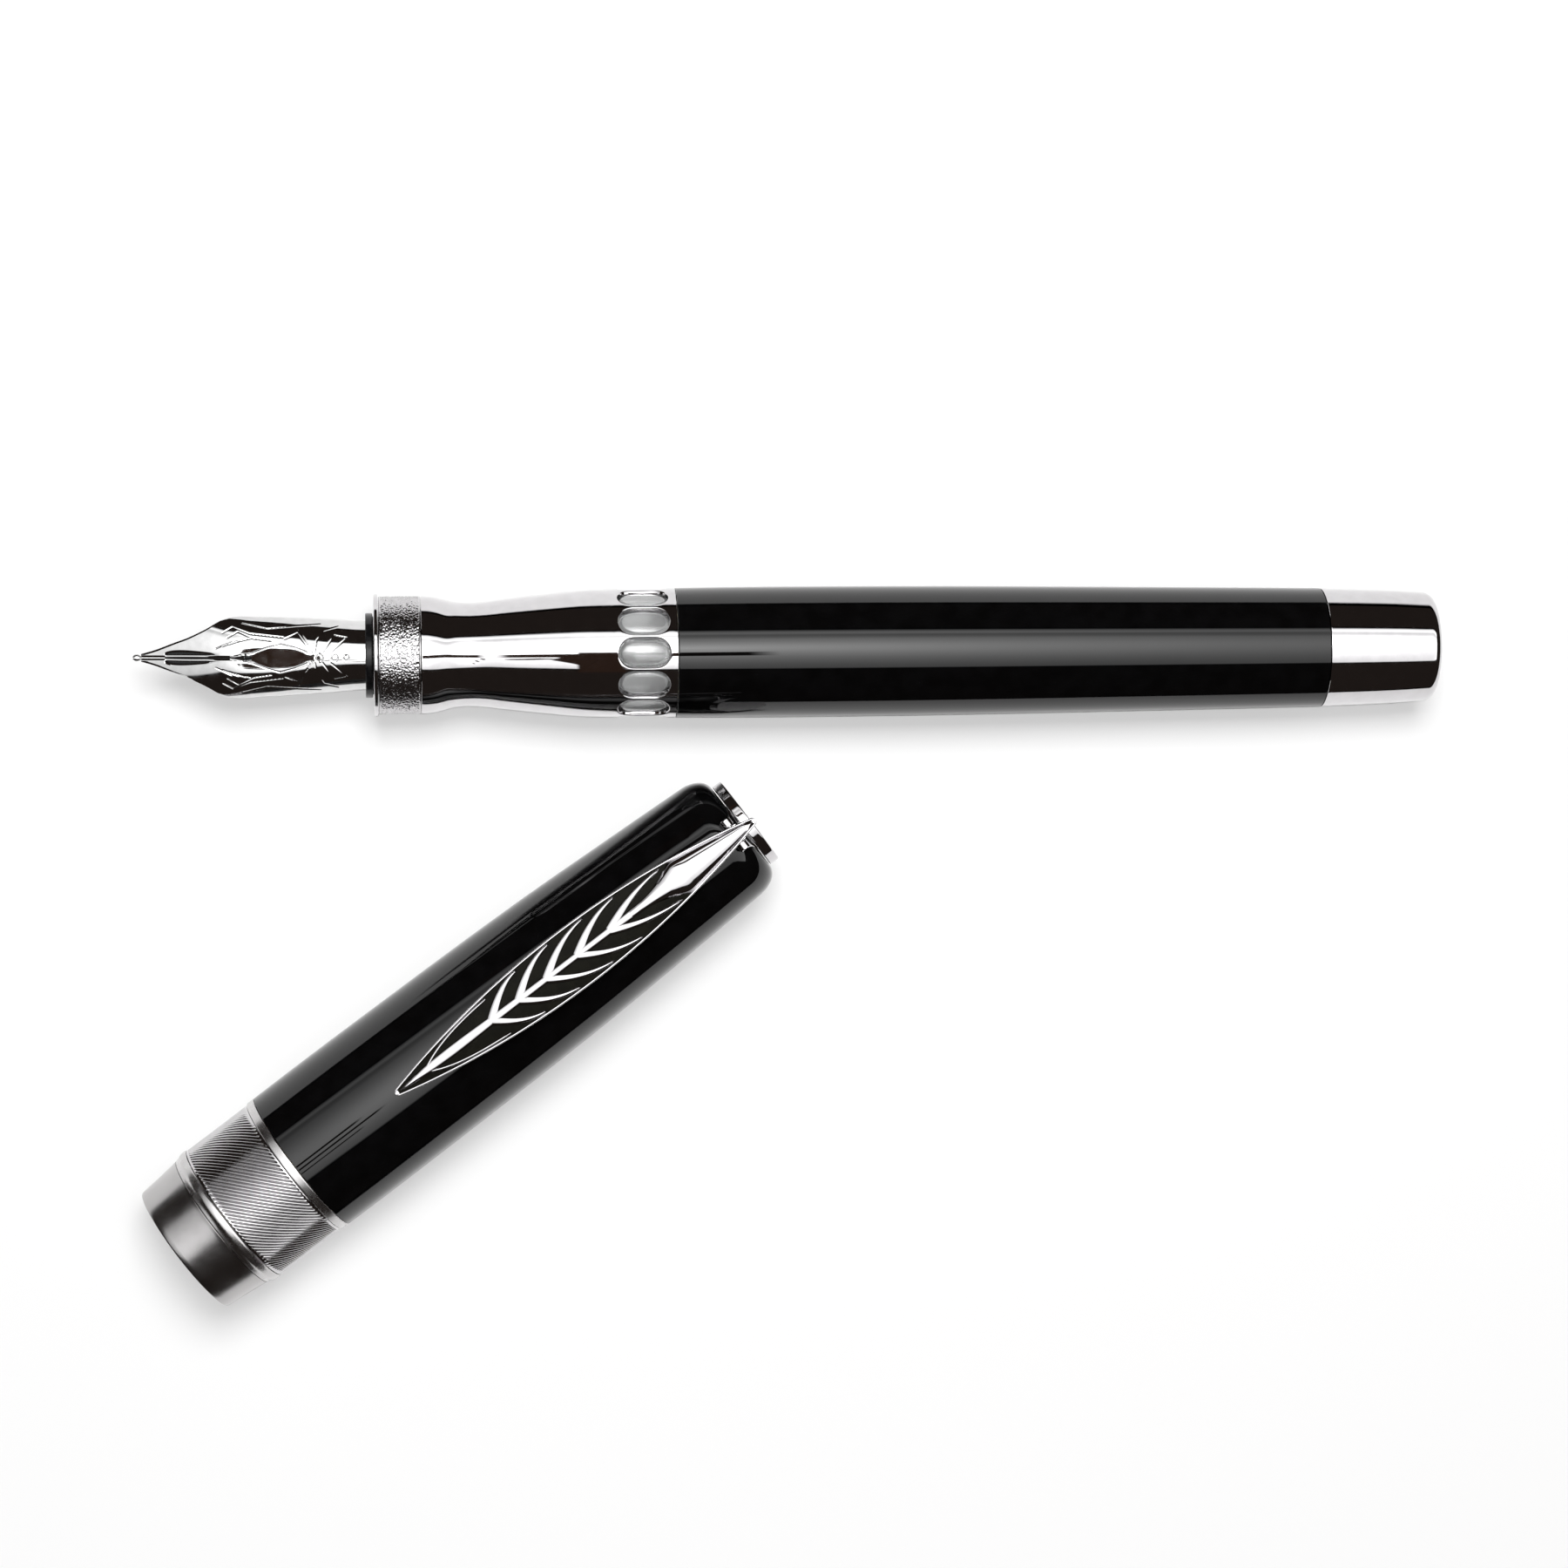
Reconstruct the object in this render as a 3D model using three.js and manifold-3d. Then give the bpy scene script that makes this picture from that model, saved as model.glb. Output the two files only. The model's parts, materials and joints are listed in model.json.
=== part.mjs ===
// A fountain pen with a plunger filler, lying uncapped beside its cap.
//
// The pen has a metal grip with a ring of twelve ink windows, a resin barrel and a metal
// filler knob. The cap has a leaf clip on a sprung hinge, with hollows between its ribs.
//
// Millimetres, +Z up. Each half is built along its own +X axis, the pen from its nib point
// and the cap from its mouth, and both are then laid on one flat surface.

import * as THREE from "three";
import { mergeVertices } from "three/addons/utils/BufferGeometryUtils.js";
import Module from "manifold-3d";

const wasm = await Module();
wasm.setup();

// ---- Driving dimensions ----

const ROUND = 24; // sides of a large turned piece
const SMALL_ROUND = 16; // sides of a rod, screw or seal
const GAP = 0.05; // left between pieces that touch

const NIB_THICKNESS = 0.3;
const FEED_END = 34; // how far the nib and feed reach into the grip
const COLLAR = { front: 24.1, back: 35, flange: 4.42, radius: 4.05 };
const LIP = { front: 24.95, back: 25.42, radius: 6.39 };
const BAND = { front: 25.47, back: 29.82, radius: 6.17, waist: 6.12 };
const GRIP = { front: 29.87, back: 56.35, bore: 4.85 };
const WINDOW = { count: 12, middle: 52.9, length: 5.3, width: 3.2, phase: 3.7, depth: 0.18 };
const CHAMBER = { front: 40, back: 113, radius: 5.25, bore: 4.55, wideBore: 4.9 };
const BARREL = { front: 56.45, back: 125.15, bore: 5.45 };
const KNOB = { front: 125.25, back: 137.35, corner: 1.15 };
const ROD_RADIUS = 1.2;
const BOSS = { back: 130.3, radius: 4.3 }; // the thread that the knob screws on to
const PEN_RADIUS = 6.89; // at the barrel's fullest point

const CAP = {
  x: 4.58, // centre of the mouth, from the nib point
  y: -62.13,
  turn: 36.8, // degrees from the pen's axis
  roll: 5, // degrees that the clip leans from the top
  radius: 8.28,
  length: 74.4,
};
const CAP_BORE = 7.05;
const CLIP = {
  lowTip: 28.2,
  highTip: 74.75,
  halfWidth: 3.2,
  nose: 0.5, // radius of the rounded tips
  rim: 0.45,
  thickness: 0.8,
  floor: 0.3, // left under the openings
  pivot: 72.2, // distance of the hinge pin from the mouth
  pinHeight: 7.2, // of the pin above the cap's axis
  underside: 0.8, // of the leaf above the pin
  slope: 1.56, // degrees that the leaf rises towards its low tip
};

// ---- Materials ----

const finish = (color, metalness, roughness, more = {}) =>
  new THREE.MeshStandardMaterial({ color, metalness, roughness, ...more });

const chrome = finish(0xd2d2d4, 1, 0.08);
const satin = finish(0xb4b3b5, 1, 0.35);
const steel = finish(0xc4c4c6, 1, 0.2);
const brass = finish(0xb5975a, 1, 0.3);
const resin = finish(0x0a0a0b, 0, 0.08);
const ebonite = finish(0x17171a, 0, 0.45);
const clear = finish(0xe4e8ea, 0, 0.05, { transparent: true, opacity: 0.35 });
const rubber = finish(0x141414, 0, 0.8);
const liner = finish(0x2a2a2c, 0, 0.5);
const magnetic = finish(0x55565a, 1, 0.4);

// ---- Helpers ----

// A closed three.js geometry as a manifold-3d solid.
function solidOf(geometry) {
  const bare = geometry.clone();
  bare.deleteAttribute("normal");
  bare.deleteAttribute("uv");
  const merged = mergeVertices(bare, 1e-4);
  const mesh = new wasm.Mesh({
    numProp: 3,
    vertProperties: merged.attributes.position.array,
    triVerts: new Uint32Array(merged.index.array),
  });
  return new wasm.Manifold(mesh);
}

// A manifold-3d solid as a three.js geometry.
function geometryOf(solid) {
  const { vertProperties, triVerts } = solid.getMesh();
  const geometry = new THREE.BufferGeometry();
  geometry.setAttribute("position", new THREE.BufferAttribute(vertProperties, 3));
  geometry.setIndex(new THREE.BufferAttribute(triVerts, 1));
  return geometry;
}

const cut = (body, ...cutters) =>
  geometryOf(cutters.reduce((left, c) => left.subtract(solidOf(c)), solidOf(body)));

const join = (body, ...others) =>
  geometryOf(others.reduce((sum, o) => sum.add(solidOf(o)), solidOf(body)));

// Turns a closed loop of [x, radius] points about the X axis.
function turnLoop(loop, sides) {
  const points = loop.map(([x, radius]) => new THREE.Vector2(radius, x));
  return new THREE.LatheGeometry(points, sides).rotateZ(-Math.PI / 2);
}

// A solid of revolution whose outline runs from front to back.
function turned(outline, sides = ROUND) {
  const front = [outline[0][0], 0];
  const back = [outline.at(-1)[0], 0];
  return turnLoop([front, ...outline, back], sides);
}

// A hollow one: the outside and the bore, each from front to back.
const tube = (outer, bore, sides = ROUND) =>
  turnLoop([...outer, ...bore.toReversed(), outer[0]], sides);

// A plain ring or sleeve.
const sleeve = (front, back, radius, bore, sides = ROUND) =>
  tube([[front, radius], [back, radius]], [[front, bore], [back, bore]], sides);

// An O-ring about the X axis.
const oRing = (x, radius, thickness, sides = SMALL_ROUND) =>
  new THREE.TorusGeometry(radius, thickness, 6, sides).rotateY(Math.PI / 2).translate(x, 0, 0);

// The outline's points between which a smooth curve runs, as more [x, radius] points.
function smooth(points, steps) {
  const curve = new THREE.SplineCurve(points.map(([x, radius]) => new THREE.Vector2(x, radius)));
  return curve.getPoints(steps).map((p) => [p.x, p.y]);
}

// A quarter ellipse that rounds an outline's outer edge off towards the back.
function roundedEdge(x, radius, length, drop, steps) {
  return Array.from({ length: steps + 1 }, (_, i) => {
    const turn = (i / steps) * (Math.PI / 2);
    return [x + length * Math.sin(turn), radius - drop * (1 - Math.cos(turn))];
  });
}

// Straight-line interpolation in rows of [x, value, value, ...].
function rowAt(rows, x) {
  const next = rows.findIndex((row) => row[0] >= x);
  if (next < 1) return next === 0 ? rows[0] : rows.at(-1);
  const [low, high] = [rows[next - 1], rows[next]];
  const share = (x - low[0]) / (high[0] - low[0]);
  return low.map((value, i) => value + share * (high[i] - value));
}

// Joins rings of points, each a front row followed by the same number of points back again.
function loft(rings) {
  const count = rings[0].length;
  const positions = rings.flat().flatMap((p) => [p.x, p.y, p.z]);
  const index = [];
  for (let r = 0; r + 1 < rings.length; r += 1) {
    for (let i = 0; i < count; i += 1) {
      const a = r * count + i;
      const b = r * count + ((i + 1) % count);
      index.push(a, b + count, b, a, a + count, b + count);
    }
  }
  const last = (rings.length - 1) * count;
  for (let i = 0; i + 1 < count / 2; i += 1) {
    const [a, b, c, d] = [i, i + 1, count - 2 - i, count - 1 - i];
    index.push(a, b, c, a, c, d);
    index.push(last + a, last + c, last + b, last + a, last + d, last + c);
  }
  const geometry = new THREE.BufferGeometry();
  geometry.setAttribute("position", new THREE.Float32BufferAttribute(positions, 3));
  geometry.setIndex(index);
  return geometry;
}

const box = (x, y, z, atX, atY, atZ) => new THREE.BoxGeometry(x, y, z).translate(atX, atY, atZ);

// A flat outline in the XY plane, extruded upwards from z.
const extruded = (shape, z, height, curveSegments = 8) =>
  new THREE.ExtrudeGeometry(shape, { depth: height, bevelEnabled: false, curveSegments })
    .translate(0, 0, z);

// ---- Nib, tipping and feed ----

// Distance from the point, wrap angle each side in degrees, arc radius, height of the crest.
const NIB_ROWS = [
  [0.95, 3.2, 7.4, 1.04],
  [2.5, 7.4, 7.0, 1.33],
  [4.3, 14.3, 6.6, 1.7],
  [6.1, 22.5, 6.0, 2.06],
  [7.9, 35.2, 5.5, 2.4],
  [9.7, 54.7, 5.0, 2.72],
  [11.2, 68.3, 4.65, 2.95],
  [15, 80, 4.2, 3.3],
  [20, 90, 3.87, 3.5],
  [24, 97, 3.62, 3.6],
  [FEED_END, 97, 3.62, 3.6],
];

// Points on an arc about the nib's centre line, offset inwards from its outer face.
function nibArc(x, inset, wrap, steps) {
  const [, , radius, crest] = rowAt(NIB_ROWS, x);
  return Array.from({ length: steps + 1 }, (_, i) => {
    const angle = wrap * ((2 * i) / steps - 1);
    const z = crest - radius + (radius - inset) * Math.cos(angle);
    return new THREE.Vector3(x, (radius - inset) * Math.sin(angle), z);
  });
}

function nibGeometry() {
  const steps = 10;
  const stations = [...NIB_ROWS.map((row) => row[0]), 10.5, 12.8].sort((a, b) => a - b);
  const rings = stations.map((x) => {
    const wrap = THREE.MathUtils.degToRad(rowAt(NIB_ROWS, x)[1]);
    const outer = nibArc(x, 0, wrap, steps);
    const inner = nibArc(x, NIB_THICKNESS, wrap, steps);
    return [...outer, ...inner.reverse()];
  });
  const slitEnd = 12;
  const slit = box(slitEnd + 1, 0.12, 8, slitEnd / 2 - 0.5, 0, 2);
  const breather = new THREE.CylinderGeometry(0.34, 0.34, 8, 12).rotateX(Math.PI / 2);
  breather.translate(slitEnd, 0, 2);
  const reliefs = [-1, 1].map((side) => {
    const shape = new THREE.Shape();
    shape.moveTo(2.7, 0.3 * side);
    shape.quadraticCurveTo(4.2, 1.25 * side, 9.4, 0.32 * side);
    shape.quadraticCurveTo(5.2, 0.5 * side, 2.7, 0.3 * side);
    return extruded(shape, -2, 8, 6);
  });
  return cut(loft(rings), slit, breather, ...reliefs);
}

const TIPPING = { radius: 0.38, stretch: 1.25, flatten: 0.9, height: 0.78, slit: 0.05 };
// Half of the writing pellet, on one side of the slit.
function tippingGeometry(side) {
  const { radius, stretch, flatten, height, slit } = TIPPING;
  const pellet = new THREE.SphereGeometry(radius, 12, 8).scale(stretch, 1, flatten);
  pellet.translate(radius * stretch, 0, height);
  const otherHalf = box(2, 2, 2, radius, -side * (1 - slit), height);
  return cut(pellet, otherHalf);
}

// Distance from the point, half width, height of the underside.
const FEED_ROWS = [
  [3.4, 0.5, 1.02],
  [6, 1.2, 0.7],
  [9, 2, -0.2],
  [12, 2.75, -1.4],
  [15, 3.05, -2.4],
  [18, 3.15, -3],
  [22, 3.2, -3.2],
  [FEED_END, 3.2, -3.2],
];

function feedGeometry() {
  const steps = 8;
  const inset = NIB_THICKNESS + 0.07;
  const rings = FEED_ROWS.map(([x, halfWidth, underside]) => {
    const radius = rowAt(NIB_ROWS, x)[2] - inset;
    const top = nibArc(x, inset, Math.asin(halfWidth / radius), steps);
    const edge = top.at(-1).z;
    const bottom = Array.from({ length: steps + 1 }, (_, i) => {
      const turn = (Math.PI * (i + 0.5)) / (steps + 1);
      const z = edge - (edge - underside) * Math.sin(turn);
      return new THREE.Vector3(x, halfWidth * Math.cos(turn), z);
    });
    return [...top, ...bottom];
  });
  const finSlots = Array.from({ length: 8 }, (_, i) => box(0.7, 8, 4, 9.8 + 1.6 * i, 0, -2.1));
  const inkChannel = box(FEED_END + 2, 0.34, 2, FEED_END / 2, 0, 3.25);
  return cut(loft(rings), inkChannel, ...finSlots);
}

function collarGeometry() {
  const { front, back, flange, radius } = COLLAR;
  const neck = front + 0.75;
  const bore = 3.72;
  const outer = [[front, flange - 0.15], [front + 0.15, flange], [neck, flange]];
  return tube([...outer, [neck, radius], [back, radius]], [[front, bore], [back, bore]]);
}

// ---- Grip ----

const coreRadius = GRIP.bore - GAP;

function bandGeometry() {
  const { front, back, radius, waist } = BAND;
  const outer = [[front, radius], [(front + back) / 2, waist], [back, radius]];
  return tube(outer, [[front, GRIP.bore], [back, GRIP.bore]]);
}

// One round-ended window opening, cut from the axis outwards.
function windowCutter(number, { margin = 0, from = 0, to = 9 }) {
  const halfLength = WINDOW.length / 2 - margin;
  const halfWidth = WINDOW.width / 2 - margin;
  const straight = halfLength - 0.85 * halfWidth;
  const shape = new THREE.Shape();
  shape.moveTo(-straight, -halfWidth);
  shape.lineTo(straight, -halfWidth);
  shape.absellipse(straight, 0, halfLength - straight, halfWidth, -Math.PI / 2, Math.PI / 2);
  shape.lineTo(-straight, halfWidth);
  shape.absellipse(-straight, 0, halfLength - straight, halfWidth, Math.PI / 2, 1.5 * Math.PI);
  const turn = THREE.MathUtils.degToRad(WINDOW.phase + (360 / WINDOW.count) * number);
  return extruded(shape, from, to - from, 3).translate(WINDOW.middle, 0, 0).rotateX(-turn);
}

const eachWindow = (options) =>
  Array.from({ length: WINDOW.count }, (_, i) => windowCutter(i, options));

// The outside of the grip, from the textured band to the barrel.
const GRIP_LINE = [
  [GRIP.front, 6.18],
  [31.7, 6.02],
  [33.3, 5.56],
  [35.4, 5.46],
  [38.5, 5.82],
  [42.6, 6.28],
  [46.5, 6.65],
  [51, 6.77],
  [GRIP.back, 6.8],
];

function gripGeometry() {
  const bore = [[GRIP.front, GRIP.bore], [CHAMBER.front - 0.1, GRIP.bore]];
  const wideBore = [[CHAMBER.front - 0.1, 5.5], [47, 5.5], [47, 5.95], [GRIP.back, 5.95]];
  return cut(tube(smooth(GRIP_LINE, 8), [...bore, ...wideBore]), ...eachWindow({ from: 3 }));
}

// The inner tube of the grip, with the ink throat and the valve seat.
function coreGeometry() {
  const shoulder = CHAMBER.front - 0.5;
  const spigot = { radius: 4.35, back: 42.2 };
  const outer = [
    [BAND.front, coreRadius],
    [shoulder, coreRadius],
    [shoulder, spigot.radius],
    [spigot.back, spigot.radius],
  ];
  const bore = [
    [BAND.front, COLLAR.radius + GAP],
    [COLLAR.back + 0.3, COLLAR.radius + GAP],
    [COLLAR.back + 0.3, 1.5],
    [38.2, 1.5],
    [39.8, 2.9],
    [39.8, 3.4],
    [spigot.back, 3.4],
  ];
  return tube(outer, bore);
}

// ---- Ink chamber, barrel and filler ----

function chamberGeometry() {
  const { front, back, radius, bore, wideBore } = CHAMBER;
  const windowRing = { front: 47.05, back: 56.2, radius: 5.88 };
  const outer = [
    [front, 5.42],
    [windowRing.front, 5.42],
    [windowRing.front, windowRing.radius],
    [windowRing.back, windowRing.radius],
    [windowRing.back, radius],
    [back, radius],
  ];
  const inner = [[front, wideBore], [48, wideBore], [48.6, bore], [back, bore]];
  const lensTop = 6.77 - WINDOW.depth;
  const lenses = eachWindow({ margin: 0.12, from: windowRing.radius - 0.3, to: lensTop });
  return join(tube(outer, inner), ...lenses);
}

// The outside of the barrel, from the grip to the knob.
const BARREL_LINE = [
  [BARREL.front, 6.81],
  [66, PEN_RADIUS],
  [77, 6.87],
  [86.5, 6.81],
  [96, 6.71],
  [105, 6.6],
  [114.5, 6.48],
  [BARREL.back, 6.33],
];

function barrelGeometry() {
  const couplingEnd = 61;
  const bore = [[BARREL.front, 5.95], [couplingEnd, 5.95], [couplingEnd, BARREL.bore]];
  return tube(smooth(BARREL_LINE, 8), [...bore, [BARREL.back, BARREL.bore]]);
}

function glandGeometry() {
  const spigot = { front: 110.2, radius: CHAMBER.bore - GAP };
  const flange = BARREL.bore - GAP;
  const pocket = { front: 117, radius: 2.5 };
  const outer = [
    [spigot.front, spigot.radius],
    [CHAMBER.back + 0.1, spigot.radius],
    [CHAMBER.back + 0.1, flange],
    [BARREL.back - GAP, flange],
    [BARREL.back - GAP, BOSS.radius],
    [BOSS.back, BOSS.radius],
  ];
  const bore = [
    [spigot.front, ROD_RADIUS + 0.2],
    [pocket.front, ROD_RADIUS + 0.2],
    [pocket.front, pocket.radius],
    [BOSS.back, pocket.radius],
  ];
  return tube(outer, bore, ROUND);
}

// A rubber cup that grips the chamber's bore, open towards the nib.
function sealGeometry() {
  const [front, back, edge] = [42.4, 45.4, CHAMBER.bore - 0.1];
  const hub = ROD_RADIUS + GAP;
  const outer = [[front, edge], [front + 0.8, edge - 0.12], [back, edge - 0.3]];
  const inner = [[front, edge - 0.6], [front + 1.9, edge - 0.9], [front + 1.9, hub], [back, hub]];
  return tube(outer, inner, ROUND);
}

function plungerNutGeometry() {
  const [front, back] = [40.3, 41.6];
  const bore = turned([[front - 1, ROD_RADIUS + GAP], [back + 1, ROD_RADIUS + GAP]], SMALL_ROUND);
  return cut(turned([[front, 2.1], [back, 2.1]], 6), bore);
}

const KNOB_CAVITY = { front: 131.6, back: 133.2, radius: 2.9 };

function knobGeometry() {
  const { front, back, corner } = KNOB;
  const line = [[front, 6.31], [129.5, 6.18], [133.3, 6.02], [back - corner, 5.83]];
  const edge = roundedEdge(back - corner, 5.83, corner, 1.1, 3).slice(1);
  const cavity = KNOB_CAVITY;
  const bore = [
    [front, 5.35],
    [cavity.front, 5.35],
    [cavity.front, cavity.radius],
    [cavity.back, cavity.radius],
    [cavity.back, 0],
  ];
  return turnLoop([...line, ...edge, [back, 0], ...bore.toReversed(), line[0]], ROUND);
}

// The threaded brass insert of the knob, which also holds the rod's head.
function knobInsertGeometry() {
  const [front, shoulder, back] = [126.25, BOSS.back + 0.3, KNOB_CAVITY.front - GAP];
  const outer = [[front, 5.3], [back, 5.3]];
  const thread = [[front, BOSS.radius + 0.1], [shoulder, BOSS.radius + 0.1]];
  return tube(outer, [...thread, [shoulder, ROD_RADIUS + 0.2], [back, ROD_RADIUS + 0.2]]);
}

// ---- Cap ----

function lipGeometry() {
  const outer = [[0, 7.28], [0.2, 7.44], [4.85, 7.95]];
  return tube(outer, [[0, CAP_BORE + 0.12], [0.3, CAP_BORE], [4.85, CAP_BORE]]);
}

function frontRingGeometry() {
  const outer = [[4.9, 7.95], [5.5, 8.17], [5.9, 8.26], [6.2, 8.22], [6.35, 8.14]];
  return tube(outer, [[4.9, 7.3], [6.35, 7.3]]);
}

// The outside of the resin tube, from the rear ring to where the shoulder starts.
const TUBE_LINE = [
  [15.35, 8.26],
  [22, CAP.radius],
  [32, 8.21],
  [42, 8.09],
  [51, 7.88],
  [60, 7.49],
  [70.3, 6.99],
];
const TUBE_END = 73.2;

function tubeGeometry() {
  const shoulder = roundedEdge(70.3, 6.99, TUBE_END - 70.3, 1.85, 4).slice(1);
  const bore = [
    [15.35, 7.3],
    [22.3, 7.3],
    [22.3, 7.1],
    [48, 7.1],
    [64, 6.3],
    [66.5, 6.3],
    [66.5, 1.75],
    [72.3, 1.75],
    [72.3, 4.7],
    [TUBE_END, 4.7],
  ];
  const clipNotch = box(2.4, 4.2, 8, 72.6, 0, 7);
  return cut(tube([...smooth(TUBE_LINE, 7), ...shoulder], bore), clipNotch);
}

function innerCapGeometry() {
  const [front, flangeEnd, floor, back] = [34.35, 35.5, 62, 65.5];
  const outer = [[front, 7], [flangeEnd, 7], [flangeEnd, 6.2], [back, 6.2]];
  return tube(outer, [[front, 5.1], [floor, 5.1], [floor, 1.75], [back, 1.75]]);
}

const finialScrewGeometry = () =>
  turned([[60.5, 3], [61.9, 3], [61.9, 1.5], [73.9, 1.5]], SMALL_ROUND);

function finialGeometry() {
  const back = CAP.length;
  const blindHole = [[73.3, 1.6], [74, 1.6], [74, 0]];
  const outside = [[73.3, 5.1], [back - 0.15, 5.1], [back, 4.95], [back, 0]];
  return turnLoop([...outside, ...blindHole.toReversed(), outside[0]], ROUND);
}

// ---- Clip ----

const EAR = { inside: 1, outside: 1.9, top: CLIP.pinHeight + 0.5 };

// The washer under the finial, with a tab that carries the hinge pin between two ears.
function clipMountGeometry() {
  const washer = sleeve(72.4, 73.1, 4.6, 1.65, 24);
  const tabHeight = EAR.top - 3.2;
  const tab = box(1.5, 2 * EAR.outside, tabHeight, 72.35, 0, EAR.top - tabHeight / 2);
  const slot = box(2, 2 * EAR.inside, 2, 72.35, 0, EAR.top + 1 - 1.5);
  const pinHole = new THREE.CylinderGeometry(0.33, 0.33, 5, 12);
  pinHole.translate(CLIP.pivot, 0, CLIP.pinHeight);
  return cut(join(washer, tab), slot, pinHole);
}

// Half width of the leaf at a distance from the mouth: two arcs, with a rounded nose at each tip.
function leafHalfWidth(s) {
  const halfLength = (CLIP.highTip - CLIP.lowTip) / 2;
  const meeting = halfLength + 2.75 * CLIP.nose; // where the arcs would meet, beyond the nose
  const radius = (meeting ** 2 + CLIP.halfWidth ** 2) / (2 * CLIP.halfWidth);
  const offset = Math.abs(s - (CLIP.lowTip + CLIP.highTip) / 2);
  const arc = Math.sqrt(radius ** 2 - offset ** 2) - (radius - CLIP.halfWidth);
  const intoNose = Math.max(CLIP.nose - (halfLength - offset), 0);
  return Math.min(arc, intoNose > 0 ? Math.sqrt(CLIP.nose ** 2 - intoNose ** 2) : arc);
}

// Where each rib leaves the spine and where it meets the rim. The last pair is the blade.
const RIB_ROOTS = [34.1, 41, 44.6, 48.1, 52.1, 56.4, 60.3];
const RIB_TIPS = [41.4, 45.9, 50.1, 54.6, 58.5, 63.9, 65.2];
const RIB_HALF = 0.3; // half of a rib's width along the clip
const SPINE_HALF = 0.3;

// The hollow between one rib and the next, on one side of the spine.
function leafCell(number, side) {
  const steps = 4;
  const edge = (rib, offset) =>
    Array.from({ length: steps + 1 }, (_, i) => {
      const share = 0.12 + (0.88 * i) / steps;
      const s = RIB_ROOTS[rib] + (RIB_TIPS[rib] - RIB_ROOTS[rib]) * share ** 1.6 + offset;
      const reach = leafHalfWidth(s) - CLIP.rim;
      return new THREE.Vector2(s, side * Math.max(SPINE_HALF, share * reach));
    });
  const loop = [...edge(number, RIB_HALF), ...edge(number + 1, -RIB_HALF).reverse()];
  const hollow = extruded(new THREE.Shape(loop), CLIP.underside + CLIP.floor, CLIP.thickness);
  return hollow.translate(-CLIP.pivot, 0, 0);
}

// The leaf plate in the pin's frame: the pin is at the origin and the low tip points to -X.
function leafGeometry() {
  const [count, blunt] = [20, 0.06];
  const stations = Array.from({ length: count + 1 }, (_, i) => {
    const share = (1 - Math.cos((Math.PI * i) / count)) / 2;
    return CLIP.lowTip + blunt + (CLIP.highTip - CLIP.lowTip - 2 * blunt) * share;
  });
  const side = (sign) => stations.map((s) => new THREE.Vector2(s, sign * leafHalfWidth(s)));
  const outline = new THREE.Shape([...side(-1), ...side(1).reverse()]);
  const cells = RIB_ROOTS.slice(1).flatMap((_, i) => [leafCell(i, -1), leafCell(i, 1)]);
  const plate = extruded(outline, CLIP.underside, CLIP.thickness).translate(-CLIP.pivot, 0, 0);
  const lugs = [-1, 1].map((sign) => box(1.3, 0.4, 1.6, 0, sign * 0.7, 0.2));
  const pinHole = new THREE.CylinderGeometry(0.4, 0.4, 5, 12);
  return cut(join(plate, ...lugs), pinHole, ...cells);
}

// The torsion spring about the hinge pin, between the leaf's two lugs.
function clipSpringGeometry() {
  class Coil extends THREE.Curve {
    getPoint(t) {
      const turn = 2 * Math.PI * 2.2 * t;
      return new THREE.Vector3(0.55 * Math.cos(turn), 0.62 * (t - 0.5), 0.55 * Math.sin(turn));
    }
  }
  const wire = new THREE.Shape().absarc(0, 0, 0.1, 0, 2 * Math.PI);
  const steps = 28;
  return new THREE.ExtrudeGeometry(wire, {
    steps,
    curveSegments: 3,
    bevelEnabled: false,
    extrudePath: new Coil(),
  });
}

// A half ball under the leaf's low tip, which bears on the cap.
function beadGeometry() {
  const radius = 0.78;
  const ball = new THREE.SphereGeometry(radius, 16, 10);
  return cut(ball, box(2, 2, 2, 0, 0, 1)).translate(30.4 - CLIP.pivot, 0, CLIP.underside - GAP);
}

// ---- Assembly ----

function part(name, geometry, material) {
  const mesh = new THREE.Mesh(geometry, material);
  mesh.name = name;
  return mesh;
}

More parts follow.
